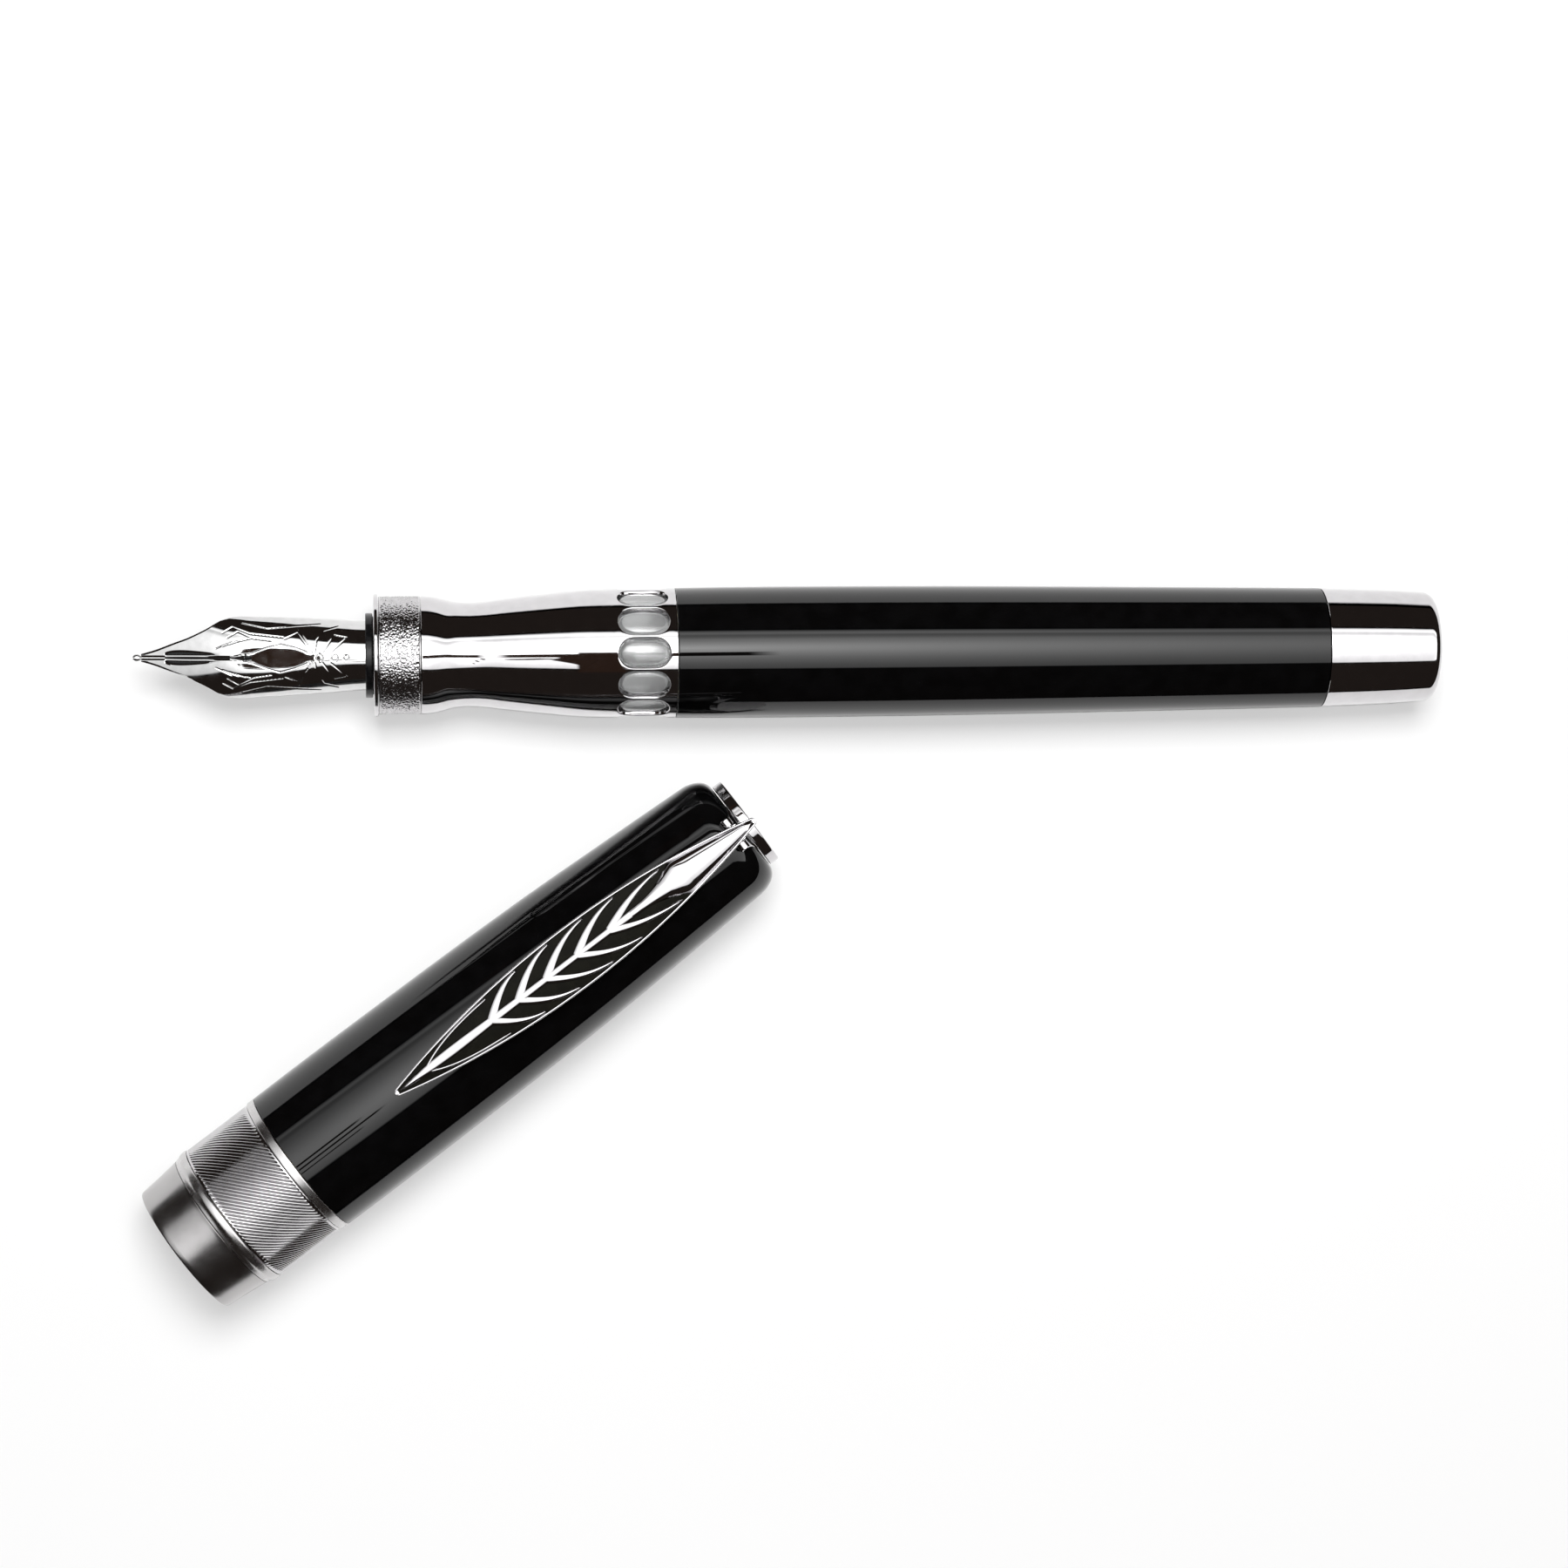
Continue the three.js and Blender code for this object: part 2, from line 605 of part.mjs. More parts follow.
function penGroup() {
  const group = new THREE.Group();
  const rod = (front, back, radius, sides) => turned([[front, radius], [back, radius]], sides);
  group.add(
    part("nib", nibGeometry(), steel),
    part("tipping_left", tippingGeometry(1), steel),
    part("tipping_right", tippingGeometry(-1), steel),
    part("feed", feedGeometry(), ebonite),
    part("nib_collar", collarGeometry(), ebonite),
    part("section_lip", sleeve(LIP.front, LIP.back, LIP.radius, COLLAR.radius + GAP), chrome),
    part("grip_band", bandGeometry(), satin),
    part("grip_shell", gripGeometry(), chrome),
    part("section_core", coreGeometry(), ebonite),
    part("core_oring", oRing(41, 4.62, 0.22, ROUND), rubber),
    part("ink_chamber", chamberGeometry(), clear),
    part("barrel_coupling", sleeve(56.5, 60.5, 5.9, 5.3), brass),
    part("barrel", barrelGeometry(), resin),
    part("rear_gland", glandGeometry(), brass),
    part("gland_oring_front", oRing(117.6, 1.82, 0.44), rubber),
    part("gland_oring_rear", oRing(118.7, 1.82, 0.44), rubber),
    part("gland_nut", sleeve(119.4, 124, 2.42, ROD_RADIUS + 0.15, SMALL_ROUND), brass),
    part("knob_oring", oRing(125.72, 4.74, 0.34), rubber),
  );
  const filler = new THREE.Group();
  const head = sleeve(45.5, 47.2, CHAMBER.bore - 0.25, ROD_RADIUS + GAP);
  filler.add(
    part("filler_rod", rod(40.1, 132.7, ROD_RADIUS, SMALL_ROUND), steel),
    part("valve_tip", turned([[38.5, 1.1], [40.05, 2.5]], SMALL_ROUND), rubber),
    part("plunger_nut", plungerNutGeometry(), steel),
    part("plunger_seal", sealGeometry(), rubber),
    part("plunger_head", head, ebonite),
    part("rod_head", sleeve(131.65, 132.65, 2.6, ROD_RADIUS + GAP, SMALL_ROUND), steel),
    part("knob", knobGeometry(), chrome),
    part("knob_insert", knobInsertGeometry(), brass),
  );
  group.add(filler);
  group.position.z = PEN_RADIUS;
  return group;
}

function clipGroup() {
  const group = new THREE.Group();
  group.add(
    part("clip_leaf", leafGeometry(), chrome),
    part("clip_bead", beadGeometry(), chrome),
  );
  group.position.set(CLIP.pivot, 0, CLIP.pinHeight);
  group.rotation.y = THREE.MathUtils.degToRad(CLIP.slope);
  return group;
}

function capGroup() {
  const group = new THREE.Group();
  const pin = new THREE.CylinderGeometry(0.3, 0.3, 2 * EAR.outside, 12);
  pin.translate(CLIP.pivot, 0, CLIP.pinHeight);
  const spring = clipSpringGeometry().translate(CLIP.pivot, 0, CLIP.pinHeight);
  group.add(
    part("cap_lip", lipGeometry(), chrome),
    part("cap_ring_front", frontRingGeometry(), chrome),
    part("cap_band", sleeve(6.4, 14.35, 8.12, 7.3), satin),
    part("cap_ring_rear", sleeve(14.4, 15.3, 8.25, 7.3), chrome),
    part("cap_sleeve", sleeve(4.9, 22.25, 7.25, CAP_BORE), brass),
    part("cap_tube", tubeGeometry(), resin),
    part("closure_magnet", sleeve(31.9, 34.3, 7, 5.2), magnetic),
    part("inner_cap", innerCapGeometry(), liner),
    part("finial_screw", finialScrewGeometry(), steel),
    part("finial_disc", finialGeometry(), chrome),
    part("clip_mount", clipMountGeometry(), chrome),
    part("clip_pin", pin, steel),
    part("clip_spring", spring, steel),
    clipGroup(),
  );
  group.position.set(CAP.x, CAP.y, CAP.radius);
  group.rotation.order = "ZYX";
  group.rotation.z = THREE.MathUtils.degToRad(CAP.turn);
  group.rotation.x = -THREE.MathUtils.degToRad(CAP.roll);
  return group;
}

// The origin is on the surface that the pen and cap lie on, below the middle of the pair.
const fountainPen = new THREE.Group();
fountainPen.add(penGroup(), capGroup());
const extent = new THREE.Box3().setFromObject(fountainPen, true);
const middle = extent.getCenter(new THREE.Vector3());
fountainPen.position.set(-middle.x, -middle.y, -extent.min.z);

export default fountainPen;
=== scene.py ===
"""The looks of a fountain pen with its cap beside it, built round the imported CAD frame.

Each piece is made in the millimetres of the half that it belongs to: the pen's along +X from the
nib's point, the cap's along +X from its mouth, and the clip's round its hinge pin. A matrix from
the frame then puts it in place.
"""

import json
from math import asin, atan2, cos, dist, exp, hypot, pi, radians, sin, sqrt, tau

import bmesh
import bpy
from mathutils import Matrix, Vector, noise


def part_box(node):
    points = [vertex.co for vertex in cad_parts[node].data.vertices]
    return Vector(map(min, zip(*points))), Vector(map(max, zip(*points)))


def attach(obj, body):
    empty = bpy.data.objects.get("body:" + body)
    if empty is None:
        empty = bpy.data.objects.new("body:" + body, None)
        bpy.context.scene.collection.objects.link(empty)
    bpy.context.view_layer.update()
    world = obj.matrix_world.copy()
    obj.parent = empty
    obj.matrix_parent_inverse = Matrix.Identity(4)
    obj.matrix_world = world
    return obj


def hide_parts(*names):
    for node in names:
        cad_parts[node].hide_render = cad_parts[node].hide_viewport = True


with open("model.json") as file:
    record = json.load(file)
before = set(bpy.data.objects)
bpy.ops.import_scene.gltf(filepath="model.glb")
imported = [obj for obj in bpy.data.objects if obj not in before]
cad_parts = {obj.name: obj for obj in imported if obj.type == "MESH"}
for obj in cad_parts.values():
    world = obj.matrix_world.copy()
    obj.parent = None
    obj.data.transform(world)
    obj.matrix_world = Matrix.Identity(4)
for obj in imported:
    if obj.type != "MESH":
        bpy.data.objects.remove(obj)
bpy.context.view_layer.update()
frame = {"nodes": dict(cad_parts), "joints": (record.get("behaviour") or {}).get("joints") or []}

MM = 0.001
SIDES = 144  # facets round a turned piece
SHARP = 32  # degrees between faces from which their edge is kept sharp
WELD = 0.002  # millimetres within which points are joined
CORNER = 0.06  # radius of a turned piece's corners, unless it has its own
WINDOWS = 12
WINDOW_PHASE = radians(3.7)
PIN = Vector((72.2, 0, 7.2))  # the clip's hinge pin in the cap
CLIP_SLOPE = radians(1.56)
KNOB_END = 137.35


# ---- Places, from the frame ----


def pen_matrix():
    low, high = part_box("barrel")
    middle = (low + high) / 2
    knob_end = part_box("knob")[1].x
    place = Vector((knob_end - KNOB_END * MM, middle.y, middle.z))
    return Matrix.Translation(place) @ Matrix.Scale(MM, 4)


def cap_matrix():
    joints = {joint["name"]: joint for joint in frame["joints"]}
    along = -Vector(joints["cap_slide"]["axis"]).normalized()
    across = Vector(joints["clip_lift"]["axis"]).normalized()
    turn = Matrix((along, across, along.cross(across))).transposed()
    place = Vector(joints["clip_lift"]["pos_m"]) - turn @ PIN * MM
    return Matrix.Translation(place) @ turn.to_4x4() @ Matrix.Scale(MM, 4)


PEN = pen_matrix()
CAP = cap_matrix()
CLIP = CAP @ Matrix.Translation(PIN) @ Matrix.Rotation(CLIP_SLOPE, 4, "Y")
PLACES = {"pen": PEN, "plunger": PEN, "filler_knob": PEN, "cap": CAP, "clip": CLIP}


# ---- Materials ----


def show(tree, shader):
    """Makes a shader what the material shows."""
    tree.links.new(shader.outputs[0], tree.nodes["Material Output"].inputs["Surface"])


def fill(tree, node, inputs):
    """Gives each input of a node its value, or a link to an output of another node."""
    for key, value in inputs.items():
        if isinstance(value, bpy.types.NodeSocket):
            tree.links.new(value, node.inputs[key])
        else:
            node.inputs[key].default_value = value


def new_node(tree, kind, inputs=(), **settings):
    node = tree.nodes.new("ShaderNode" + kind)
    for name, value in settings.items():
        setattr(node, name, value)
    fill(tree, node, dict(inputs))
    return node


def new_material(name, kind=None):
    """A material with a Principled shader, or with one shader of another kind."""
    material = bpy.data.materials.new(name)
    material.use_nodes = True
    tree = material.node_tree
    shader = tree.nodes["Principled BSDF"]
    if kind:
        tree.nodes.remove(shader)
        shader = new_node(tree, kind)
        show(tree, shader)
    return material, tree, shader


def object_place(tree):
    return new_node(tree, "TexCoord").outputs["Object"]


def math_node(tree, operation, *values, kind="Math"):
    return new_node(tree, kind, enumerate(values), operation=operation).outputs["Value"]


def ranged(tree, source, low, high, start, end):
    """Takes start to end onto low to high."""
    limits = {"From Min": start, "From Max": end, "To Min": low, "To Max": high}
    return new_node(tree, "MapRange", {"Value": source, **limits}).outputs["Result"]


def ramped(tree, source, stops):
    """The colour at the source's place between stops of (position, colour)."""
    ramp = new_node(tree, "ValToRGB", {"Fac": source})
    elements = ramp.color_ramp.elements
    for _ in stops[2:]:
        elements.new(0.5)
    for element, (position, colour) in zip(elements, stops):
        element.position = position
        element.color = (*colour, 1)
    return ramp.outputs["Color"]


NOISE_DETAIL = 3
DRIFT = (0.35, 0.65)  # the part of the noise that colour and roughness follow
BUMP_STRENGTH = 0.5
METAL = {"Metallic": 1.0}
CLEAR = {"Transmission Weight": 0.82, "IOR": 1.45, "Coat Weight": 1.0, "Coat Roughness": 0.02}
FINISHES = {  # dark and light colour, roughness, fineness and height of the noise, fixed inputs
    "chrome": ((0.60, 0.59, 0.60), (0.64, 0.63, 0.64), (0.035, 0.06), 900, 0, METAL),
    "lip_chrome": ((0.44, 0.43, 0.43), (0.48, 0.47, 0.47), (0.21, 0.25), 500, 0, METAL),
    "textured_metal": ((0.50, 0.49, 0.50), (0.62, 0.61, 0.62), (0.12, 0.2), 5500, 3e-5, METAL),
    "turned_metal": ((0.56, 0.55, 0.56), (0.62, 0.61, 0.62), (0.09, 0.13), 600, 0, METAL),
    "satin_chrome": ((0.56, 0.55, 0.55), (0.62, 0.61, 0.61), (0.24, 0.29), 600, 0, METAL),
    "nib_steel": ((0.62, 0.62, 0.62), (0.68, 0.68, 0.68), (0.05, 0.09), 1200, 0, METAL),
    "brass": ((0.55, 0.42, 0.20), (0.66, 0.53, 0.28), (0.22, 0.32), 1500, 0, METAL),
    "black_resin": ((0.0012, 0.0012, 0.0013), (0.0022, 0.0022, 0.0024), (0.02, 0.04), 500, 0, {}),
    "lacquer": (
        *((0.003, 0.0028, 0.0016), (0.006, 0.0056, 0.0036), (0.22, 0.32), 700, 0),
        {"Specular IOR Level": 0.035},
    ),
    "ebonite": (
        *((0.004, 0.004, 0.0045), (0.009, 0.009, 0.0095), (0.14, 0.24), 2500, 1e-5),
        {"Specular IOR Level": 0.25},
    ),
    "rubber": ((0.010, 0.010, 0.010), (0.020, 0.020, 0.020), (0.6, 0.75), 3000, 2e-5, {}),
    "liner": ((0.020, 0.020, 0.021), (0.034, 0.034, 0.036), (0.4, 0.5), 2500, 1e-5, {}),
    "magnet": ((0.30, 0.30, 0.31), (0.36, 0.36, 0.37), (0.3, 0.4), 2000, 0, METAL),
    "clear_resin": ((0.80, 0.81, 0.81), (0.88, 0.89, 0.89), (0.16, 0.24), 600, 0, CLEAR),
}


def surface(name, dark, light, rough, grain, height, fixed):
    """A material whose colour and roughness both drift with fine noise."""
    material, tree, shader = new_material(name)
    fineness = {"Vector": object_place(tree), "Scale": grain, "Detail": NOISE_DETAIL}
    drift = new_node(tree, "TexNoise", fineness).outputs["Fac"]
    start, end = DRIFT
    colour = ramped(tree, drift, ((start, dark), (end, light)))
    roughness = ranged(tree, drift, *rough, start, end)
    fill(tree, shader, {**fixed, "Base Color": colour, "Roughness": roughness})
    if height:
        relief = {"Strength": BUMP_STRENGTH, "Distance": height, "Height": drift}
        fill(tree, shader, {"Normal": new_node(tree, "Bump", relief).outputs["Normal"]})
    return material


MATERIALS = {name: surface(name, *row) for name, row in FINISHES.items()}


# ---- Mesh building ----


def new_object(name, data):
    thing = bpy.data.objects.new(name, data)
    bpy.context.scene.collection.objects.link(thing)
    return thing


def add_piece(name, body, slot, material, parts, replaces=(), sharp=SHARP, weld=WELD):
    """One object from (vertices, faces) parts in millimetres, riding on a CAD body."""
    mesh = bpy.data.meshes.new(name)
    vertices, faces = [], []
    for part_vertices, part_faces in parts:
        start = len(vertices)
        vertices += part_vertices
        faces += [[start + i for i in face] for face in part_faces]
    mesh.from_pydata(vertices, [], faces)
    work = bmesh.new()
    work.from_mesh(mesh)
    if weld:
        bmesh.ops.remove_doubles(work, verts=work.verts, dist=weld)
    bmesh.ops.recalc_face_normals(work, faces=work.faces)
    work.to_mesh(mesh)
    work.free()
    mesh.transform(PLACES[body])
    finish_shading(mesh, sharp)
    mesh.materials.append(MATERIALS[material])
    piece = new_object(name, mesh)
    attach(piece, body)
    if replaces:
        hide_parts(*replaces)
    return piece


def refine(cad, body, slot, *parts, material=None, **settings):
    """Puts a finer piece in the place of a CAD node."""
    return add_piece(cad + "_fine", body, slot, material or slot, parts, [cad], **settings)


def finish_shading(mesh, sharp):
    mesh.shade_smooth()
    mesh.set_sharp_from_angle(angle=radians(sharp))


def spread(low, high, count):
    """Numbers from low to high in even steps."""
    return [low + (high - low) * i / count for i in range(count + 1)]


def grid_faces(rows, columns, around=True):
    """Quads between rows of points that are loops or, without around, lines."""
    faces = []
    for i in range(rows - 1):
        for k in range(columns if around else columns - 1):
            a, b = i * columns + k, i * columns + (k + 1) % columns
            faces.append([a, b, b + columns, a + columns])
    return faces


def on_round(x, radius, angle):
    """A point at an angle from the top, towards +Y."""
    return (x, radius * sin(angle), radius * cos(angle))


def revolved(profile, closed=True, sides=SIDES, phase=0.0, relief=None, twist=0.0):
    """Turns (x, radius) points about X. relief(x, angle) adds to the radius."""
    vertices, rings = [], []
    for x, radius in profile:
        if radius < 1e-6:
            rings.append([len(vertices)] * sides)
            vertices.append((x, 0, 0))
            continue
        rings.append(list(range(len(vertices), len(vertices) + sides)))
        for i in range(sides):
            angle = phase + tau * i / sides + twist * (x - profile[0][0])
            height = relief(x, angle) if relief else 0
            vertices.append(on_round(x, radius + height, angle))
    faces = []
    for a, b in zip(rings, rings[1:] + rings[:1] if closed else rings[1:]):
        for i in range(sides):
            j = (i + 1) % sides
            corners = list(dict.fromkeys((a[i], a[j], b[j], b[i])))
            if len(corners) > 2:
                faces.append(corners)
    return vertices, faces


def hermite(points, per_span):
    """More points on a smooth curve through points of any dimension."""
    out = []
    last = len(points) - 1
    for k in range(last):
        before, start, end, after = (points[min(max(k + d, 0), last)] for d in (-1, 0, 1, 2))
        span = end[0] - start[0]
        for i in range(per_span):
            t = i / per_span
            rise = 3 * t**2 - 2 * t**3
            weights = (1 - rise, t**3 - 2 * t**2 + t, rise, t**3 - t**2)
            row = []
            for a, b, c, d in zip(before, start, end, after):
                left = (c - a) / max(end[0] - before[0], 1e-9) * span
                right = (d - b) / max(after[0] - start[0], 1e-9) * span
                row.append(sum(w * v for w, v in zip(weights, (b, left, c, right))))
            out.append(tuple(row))
    return [*out, tuple(points[-1])]


FILLET_SHARE = 0.45  # the most of a line that a rounded corner takes up
LEAST_TURN = radians(25)  # of a corner that is rounded
GUARD_REACH, GUARD_ROOM = 1.6, 4  # in units of the corner's radius


def filleted(profile, radius, steps=3, closed=True):
    """Rounds the corners of a profile.

    A guard point close to each end of a rounding keeps the smooth shading off the long faces.
    """
    out = []
    count = len(profile)
    for i, corner in enumerate(profile):
        here = Vector(corner)
        before, after = Vector(profile[i - 1]) - here, Vector(profile[(i + 1) % count]) - here
        loose = not closed and i in (0, count - 1)
        if loose or min(before.length, after.length) < 1e-6 or before.angle(-after) < LEAST_TURN:
            out.append(tuple(corner))
            continue
        ends, guards = [], []
        for line in (before, after):
            along = line.normalized()
            ends.append(here + along * min(radius, line.length * FILLET_SHARE))
            roomy = line.length > GUARD_ROOM * radius
            guards.append([tuple(here + along * radius * GUARD_REACH)] if roomy else [])
        out += guards[0]
        for t in spread(0, 1, steps):
            out.append(tuple(ends[0] * (1 - t) ** 2 + here * 2 * t * (1 - t) + ends[1] * t**2))
        out += guards[1]
    return out


def tube(outer, bore, radius=CORNER):
    """A closed profile from an outside and a bore, each from front to back."""
    return filleted(list(outer) + list(reversed(bore)), radius)


def sleeve(front, back, radius, bore, corner=CORNER):
    return tube([(front, radius), (back, radius)], [(front, bore), (back, bore)], corner)


def solid(profile, corner, sides=SIDES, steps=3):
    """A turned piece without a bore, from a profile that starts and ends on the axis."""
    return revolved(filleted(profile, corner, steps, closed=False), closed=False, sides=sides)


def quarter_round(x, radius, length, drop):
    turns = spread(0, pi / 2, 10)
    return [(x + length * sin(t), radius - drop * (1 - cos(t))) for t in turns]


def swept(stations, section):
    """A closed bar: section(i) gives the loop of points at each station, all of one length."""
    loops = [section(i) for i in range(stations)]
    count = len(loops[0])
    faces = grid_faces(stations, count)
    faces += [list(range(count)), list(range((stations - 1) * count, stations * count))]
    return [point for loop in loops for point in loop], faces


def cubic(corners, steps):
    """Points on a Bezier curve in the plane, from its four corners."""
    points = []
    for t in spread(0, 1, steps):
        weights = ((1 - t) ** 3, 3 * t * (1 - t) ** 2, 3 * t * t * (1 - t), t**3)
        points.append(tuple(sum(w * p[k] for w, p in zip(weights, corners)) for k in (0, 1)))
    return points


# ---- Nib and feed ----

# Distance from the point, wrap each side in degrees, half width and height of the ellipse that
# the section follows, height of the crest.
NIB_ROWS = [
    (0.95, 4.7, 5.0, 1.9, 1.04),
    (2.5, 10.0, 5.0, 1.9, 1.37),
    (4.3, 18.2, 5.0, 1.9, 1.79),
    (6.1, 26.7, 5.0, 1.9, 2.21),
    (7.9, 41.6, 4.7, 1.95, 2.62),
    (9.7, 65.5, 4.45, 2.25, 2.99),
    (10.6, 74.5, 4.38, 2.35, 3.14),
    (11.3, 81.0, 4.33, 2.4, 3.21),
    (12.4, 86.0, 4.23, 2.5, 3.26),
    (15.0, 90.0, 4.12, 2.8, 3.33),
    (20.0, 94.0, 3.87, 3.5, 3.42),
    (24.0, 97.0, 3.62, 3.62, 3.5),
    (34.0, 97.0, 3.62, 3.62, 3.6),
]
NIB_TABLE = hermite(NIB_ROWS, 12)
NIB_THICKNESS = 0.3
NIB_START, NIB_STEP, NIB_STEPS = 0.95, 0.06, 386  # of the finely drawn part
NIB_TAIL = (24.2, 34.2, 10)  # first, last and number of steps of the plain part in the grip
NIB_MIDDLE = (14, 0, 0)  # a place under the nib
SLIT_HALF = 0.05
BREATHER = (12.0, 0.33)
RELIEF_SPAN = (3.4, 9.1)  # of the two crescent openings beside the slit
RELIEF_PLACE, RELIEF_BULGE, RELIEF_WIDTH = 0.3, 0.06, 0.28
GROOVE_DEPTH, GROOVE_HALF = 0.05, 0.09
GROOVE_CELL = 0.25
EDGE_WIDTH, EDGE_DROP = 0.22, 0.14  # the bevel along the nib's edges
BEVEL_END, BEVEL_FADE, BEVEL_LEAST = 8.6, 3, 0.2  # full at the point, slight past its end
OPEN_WIDTH, SLIT_WIDTH = 0.1, 0.03  # of an opening whose edges are fully bevelled
FLAT_SPAN = (9, 13.5, 16, 20.5)  # where the flat on the crest starts, is full, and ends
FLAT_DEPTH, FLAT_HALF = 0.17, 1.1


def row_at(table, x):
    for low, high in zip(table, table[1:]):
        if x <= high[0]:
            share = share_of(x, low[0], high[0])
            return tuple(a + share * (b - a) for a, b in zip(low, high))
    return table[-1]


def nib_row(x):
    """The nib's section at a station."""
    return (x, *row_at(NIB_TABLE, x)[1:])


def share_of(x, start, end):
    """How far x is from start to end, kept between 0 and 1."""
    return min(max((x - start) / (end - start), 0), 1)


def flat_share(x):
    """How much of the flat along the nib's crest there is at a station."""
    share = min(share_of(x, *FLAT_SPAN[:2]), share_of(x, *FLAT_SPAN[:1:-1]))
    return share * share * (3 - 2 * share)


def nib_point_at(row, angle, inset):
    """A point of the nib's outer face, or below it, at an angle of the ellipse."""
    x, _, half, height, crest = row
    side, up = height * sin(angle), half * cos(angle)
    length = hypot(side, up)
    y = half * sin(angle) - inset * side / length
    crest -= flat_share(x) * FLAT_DEPTH * exp(-((y / FLAT_HALF) ** 2))
    return (x, y, crest - height * (1 - cos(angle)) - inset * up / length)


def slit_edge(x):
    """Where the metal starts beside the slit and the round hole, from the centre line."""
    centre, radius = BREATHER
    if x < centre - radius:
        return SLIT_HALF
    if x > centre + radius:
        return 0.0
    hole = sqrt(max(radius**2 - (x - centre) ** 2, 0))
    return max(hole, SLIT_HALF if x < centre else 0.0)


def relief_edges(x):
    """Where the crescent opening starts and ends, from the centre line."""
    share = share_of(x, *RELIEF_SPAN)
    inner = RELIEF_PLACE + RELIEF_BULGE * sin(pi * share)
    width = RELIEF_WIDTH * sin(pi * share**0.5) ** 1.2 if 0 < share < 1 else 0.0
    return inner, inner + width


def engraved_lines():
    """Plain line work: a lens, chevrons, arcs and rings, as strokes in the plan."""
    strokes = []
    for side in (-1, 1):
        half = [
            [(10.2, 0.14), (12.4, 0.5), (14.1, 1.15), (15.3, 1.5), (16.8, 1.1), (18.5, 0.4)],
            [(15.8, 1.95), (17.1, 2.55), (18.6, 0.5)],
            [(19.7, 0.55), (20.9, 2.3), (22.2, 2.05), (20.6, 0.6)],
            [(18.9, 0.55), (19.1, 1.8), (19.8, 2.75), (21.3, 3.15)],
            [(18.3, 0.6), (18.1, 1.5), (17.2, 3.0)],
            [(9.4, 2.6), (10.4, 3.2), (12.2, 2.5), (15.6, 2.1)],
            [(9.9, 2.1), (11.0, 2.75), (12.6, 2.0), (14.4, 1.75)],
            [(11.4, 3.6), (14.0, 3.0), (17.0, 3.25), (19.5, 3.4)],
        ]
        for i in range(4):
            half.append([(8.7 + 0.7 * i, 1.0 + 0.22 * i), (10.3 + 0.7 * i, 1.75 + 0.1 * i)])
        strokes += [[(x, side * y) for x, y in stroke] for stroke in half]
    for centre, radius in ((19.3, 0.36), (20.9, 0.34), (22.1, 0.28)):
        turns = spread(0, tau, 12)
        strokes.append([(centre + radius * cos(t), radius * sin(t)) for t in turns])
    return strokes


def rounded_drop(distance, share):
    """How far the bevel has dropped, at a distance from the edge."""
    return share * EDGE_DROP * max(1 - distance / EDGE_WIDTH, 0) ** 1.1


def bevel_share(x):
    """How much of the bevel the outer edge has at a station."""
    return min(max((BEVEL_END - x) / BEVEL_FADE, BEVEL_LEAST), 1)


def groove_cell(x, y):
    return round(x / GROOVE_CELL), round(y / GROOVE_CELL)


def groove_field(strokes):
    """Line segments sorted into cells, so that each point tests only the near ones."""
    cells = {}
    for stroke in strokes:
        for a, b in zip(stroke, stroke[1:]):
            length = dist(a, b)
            for i in range(int(length / GROOVE_CELL) + 2):
                t = min(i * GROOVE_CELL / length, 1)
                column, row = groove_cell(a[0] + t * (b[0] - a[0]), a[1] + t * (b[1] - a[1]))
                for dx in (-1, 0, 1):
                    for dy in (-1, 0, 1):
                        cells.setdefault((column + dx, row + dy), set()).add((a, b))
    return cells


def groove_depth(field, x, y):
    """How deep the engraving is at a place in the plan."""
    best = GROOVE_HALF
    for a, b in field.get(groove_cell(x, y), ()):
        ax, ay = b[0] - a[0], b[1] - a[1]
        share = ((x - a[0]) * ax + (y - a[1]) * ay) / (ax * ax + ay * ay)
        share = min(max(share, 0), 1)
        best = min(best, hypot(x - a[0] - share * ax, y - a[1] - share * ay))
    return GROOVE_DEPTH * (1 - best / GROOVE_HALF)


def strip_angles(low, high, radius, cells):
    """Angles across a strip, closer together along its two edges."""
    edge = min(EDGE_WIDTH / radius, (high - low) * 0.3)
    inner = spread(low + edge, high - edge, cells)
    return [low, low + edge * 0.4, *inner, high - edge * 0.4, high]


def nib_strip(strip, cells, side, field):
    """The bar between slit and crescent, or the wing out to the edge."""
    stations = [NIB_START + NIB_STEP * i for i in range(NIB_STEPS + 1)] + spread(*NIB_TAIL)
    vertices = []
    for x in stations:
        row = nib_row(x)
        radius, edge = row[2], radians(row[1])
        inner, outer = relief_edges(x)
        slit = slit_edge(x)
        cuts = [min(asin(min(y / radius, 1)), edge) for y in (slit, inner, outer)]
        open_share = min((outer - inner) / OPEN_WIDTH, 1)
        if strip == "bar":
            low, high = cuts[:2]
            low_share, high_share = min(slit / SLIT_WIDTH, 1), open_share
        else:
            low, high = cuts[2], edge
            low_share, high_share = open_share, bevel_share(x)
        angles = strip_angles(low, high, radius, cells)
        for angle in angles:
            drop = rounded_drop((angle - low) * radius, low_share)
            drop += rounded_drop((high - angle) * radius, high_share)
            drop += groove_depth(field, x, side * radius * sin(angle))
            vertices.append(nib_point_at(row, side * angle, drop))
    return vertices, grid_faces(len(stations), len(angles), around=False)


def nib_strips():
    """The nib's outer face, between the slit, the crescents and the edges."""
    field = groove_field(engraved_lines())
    strips = (("bar", 8), ("wing", 100))
    return [nib_strip(*strip, side, field) for side in (-1, 1) for strip in strips]


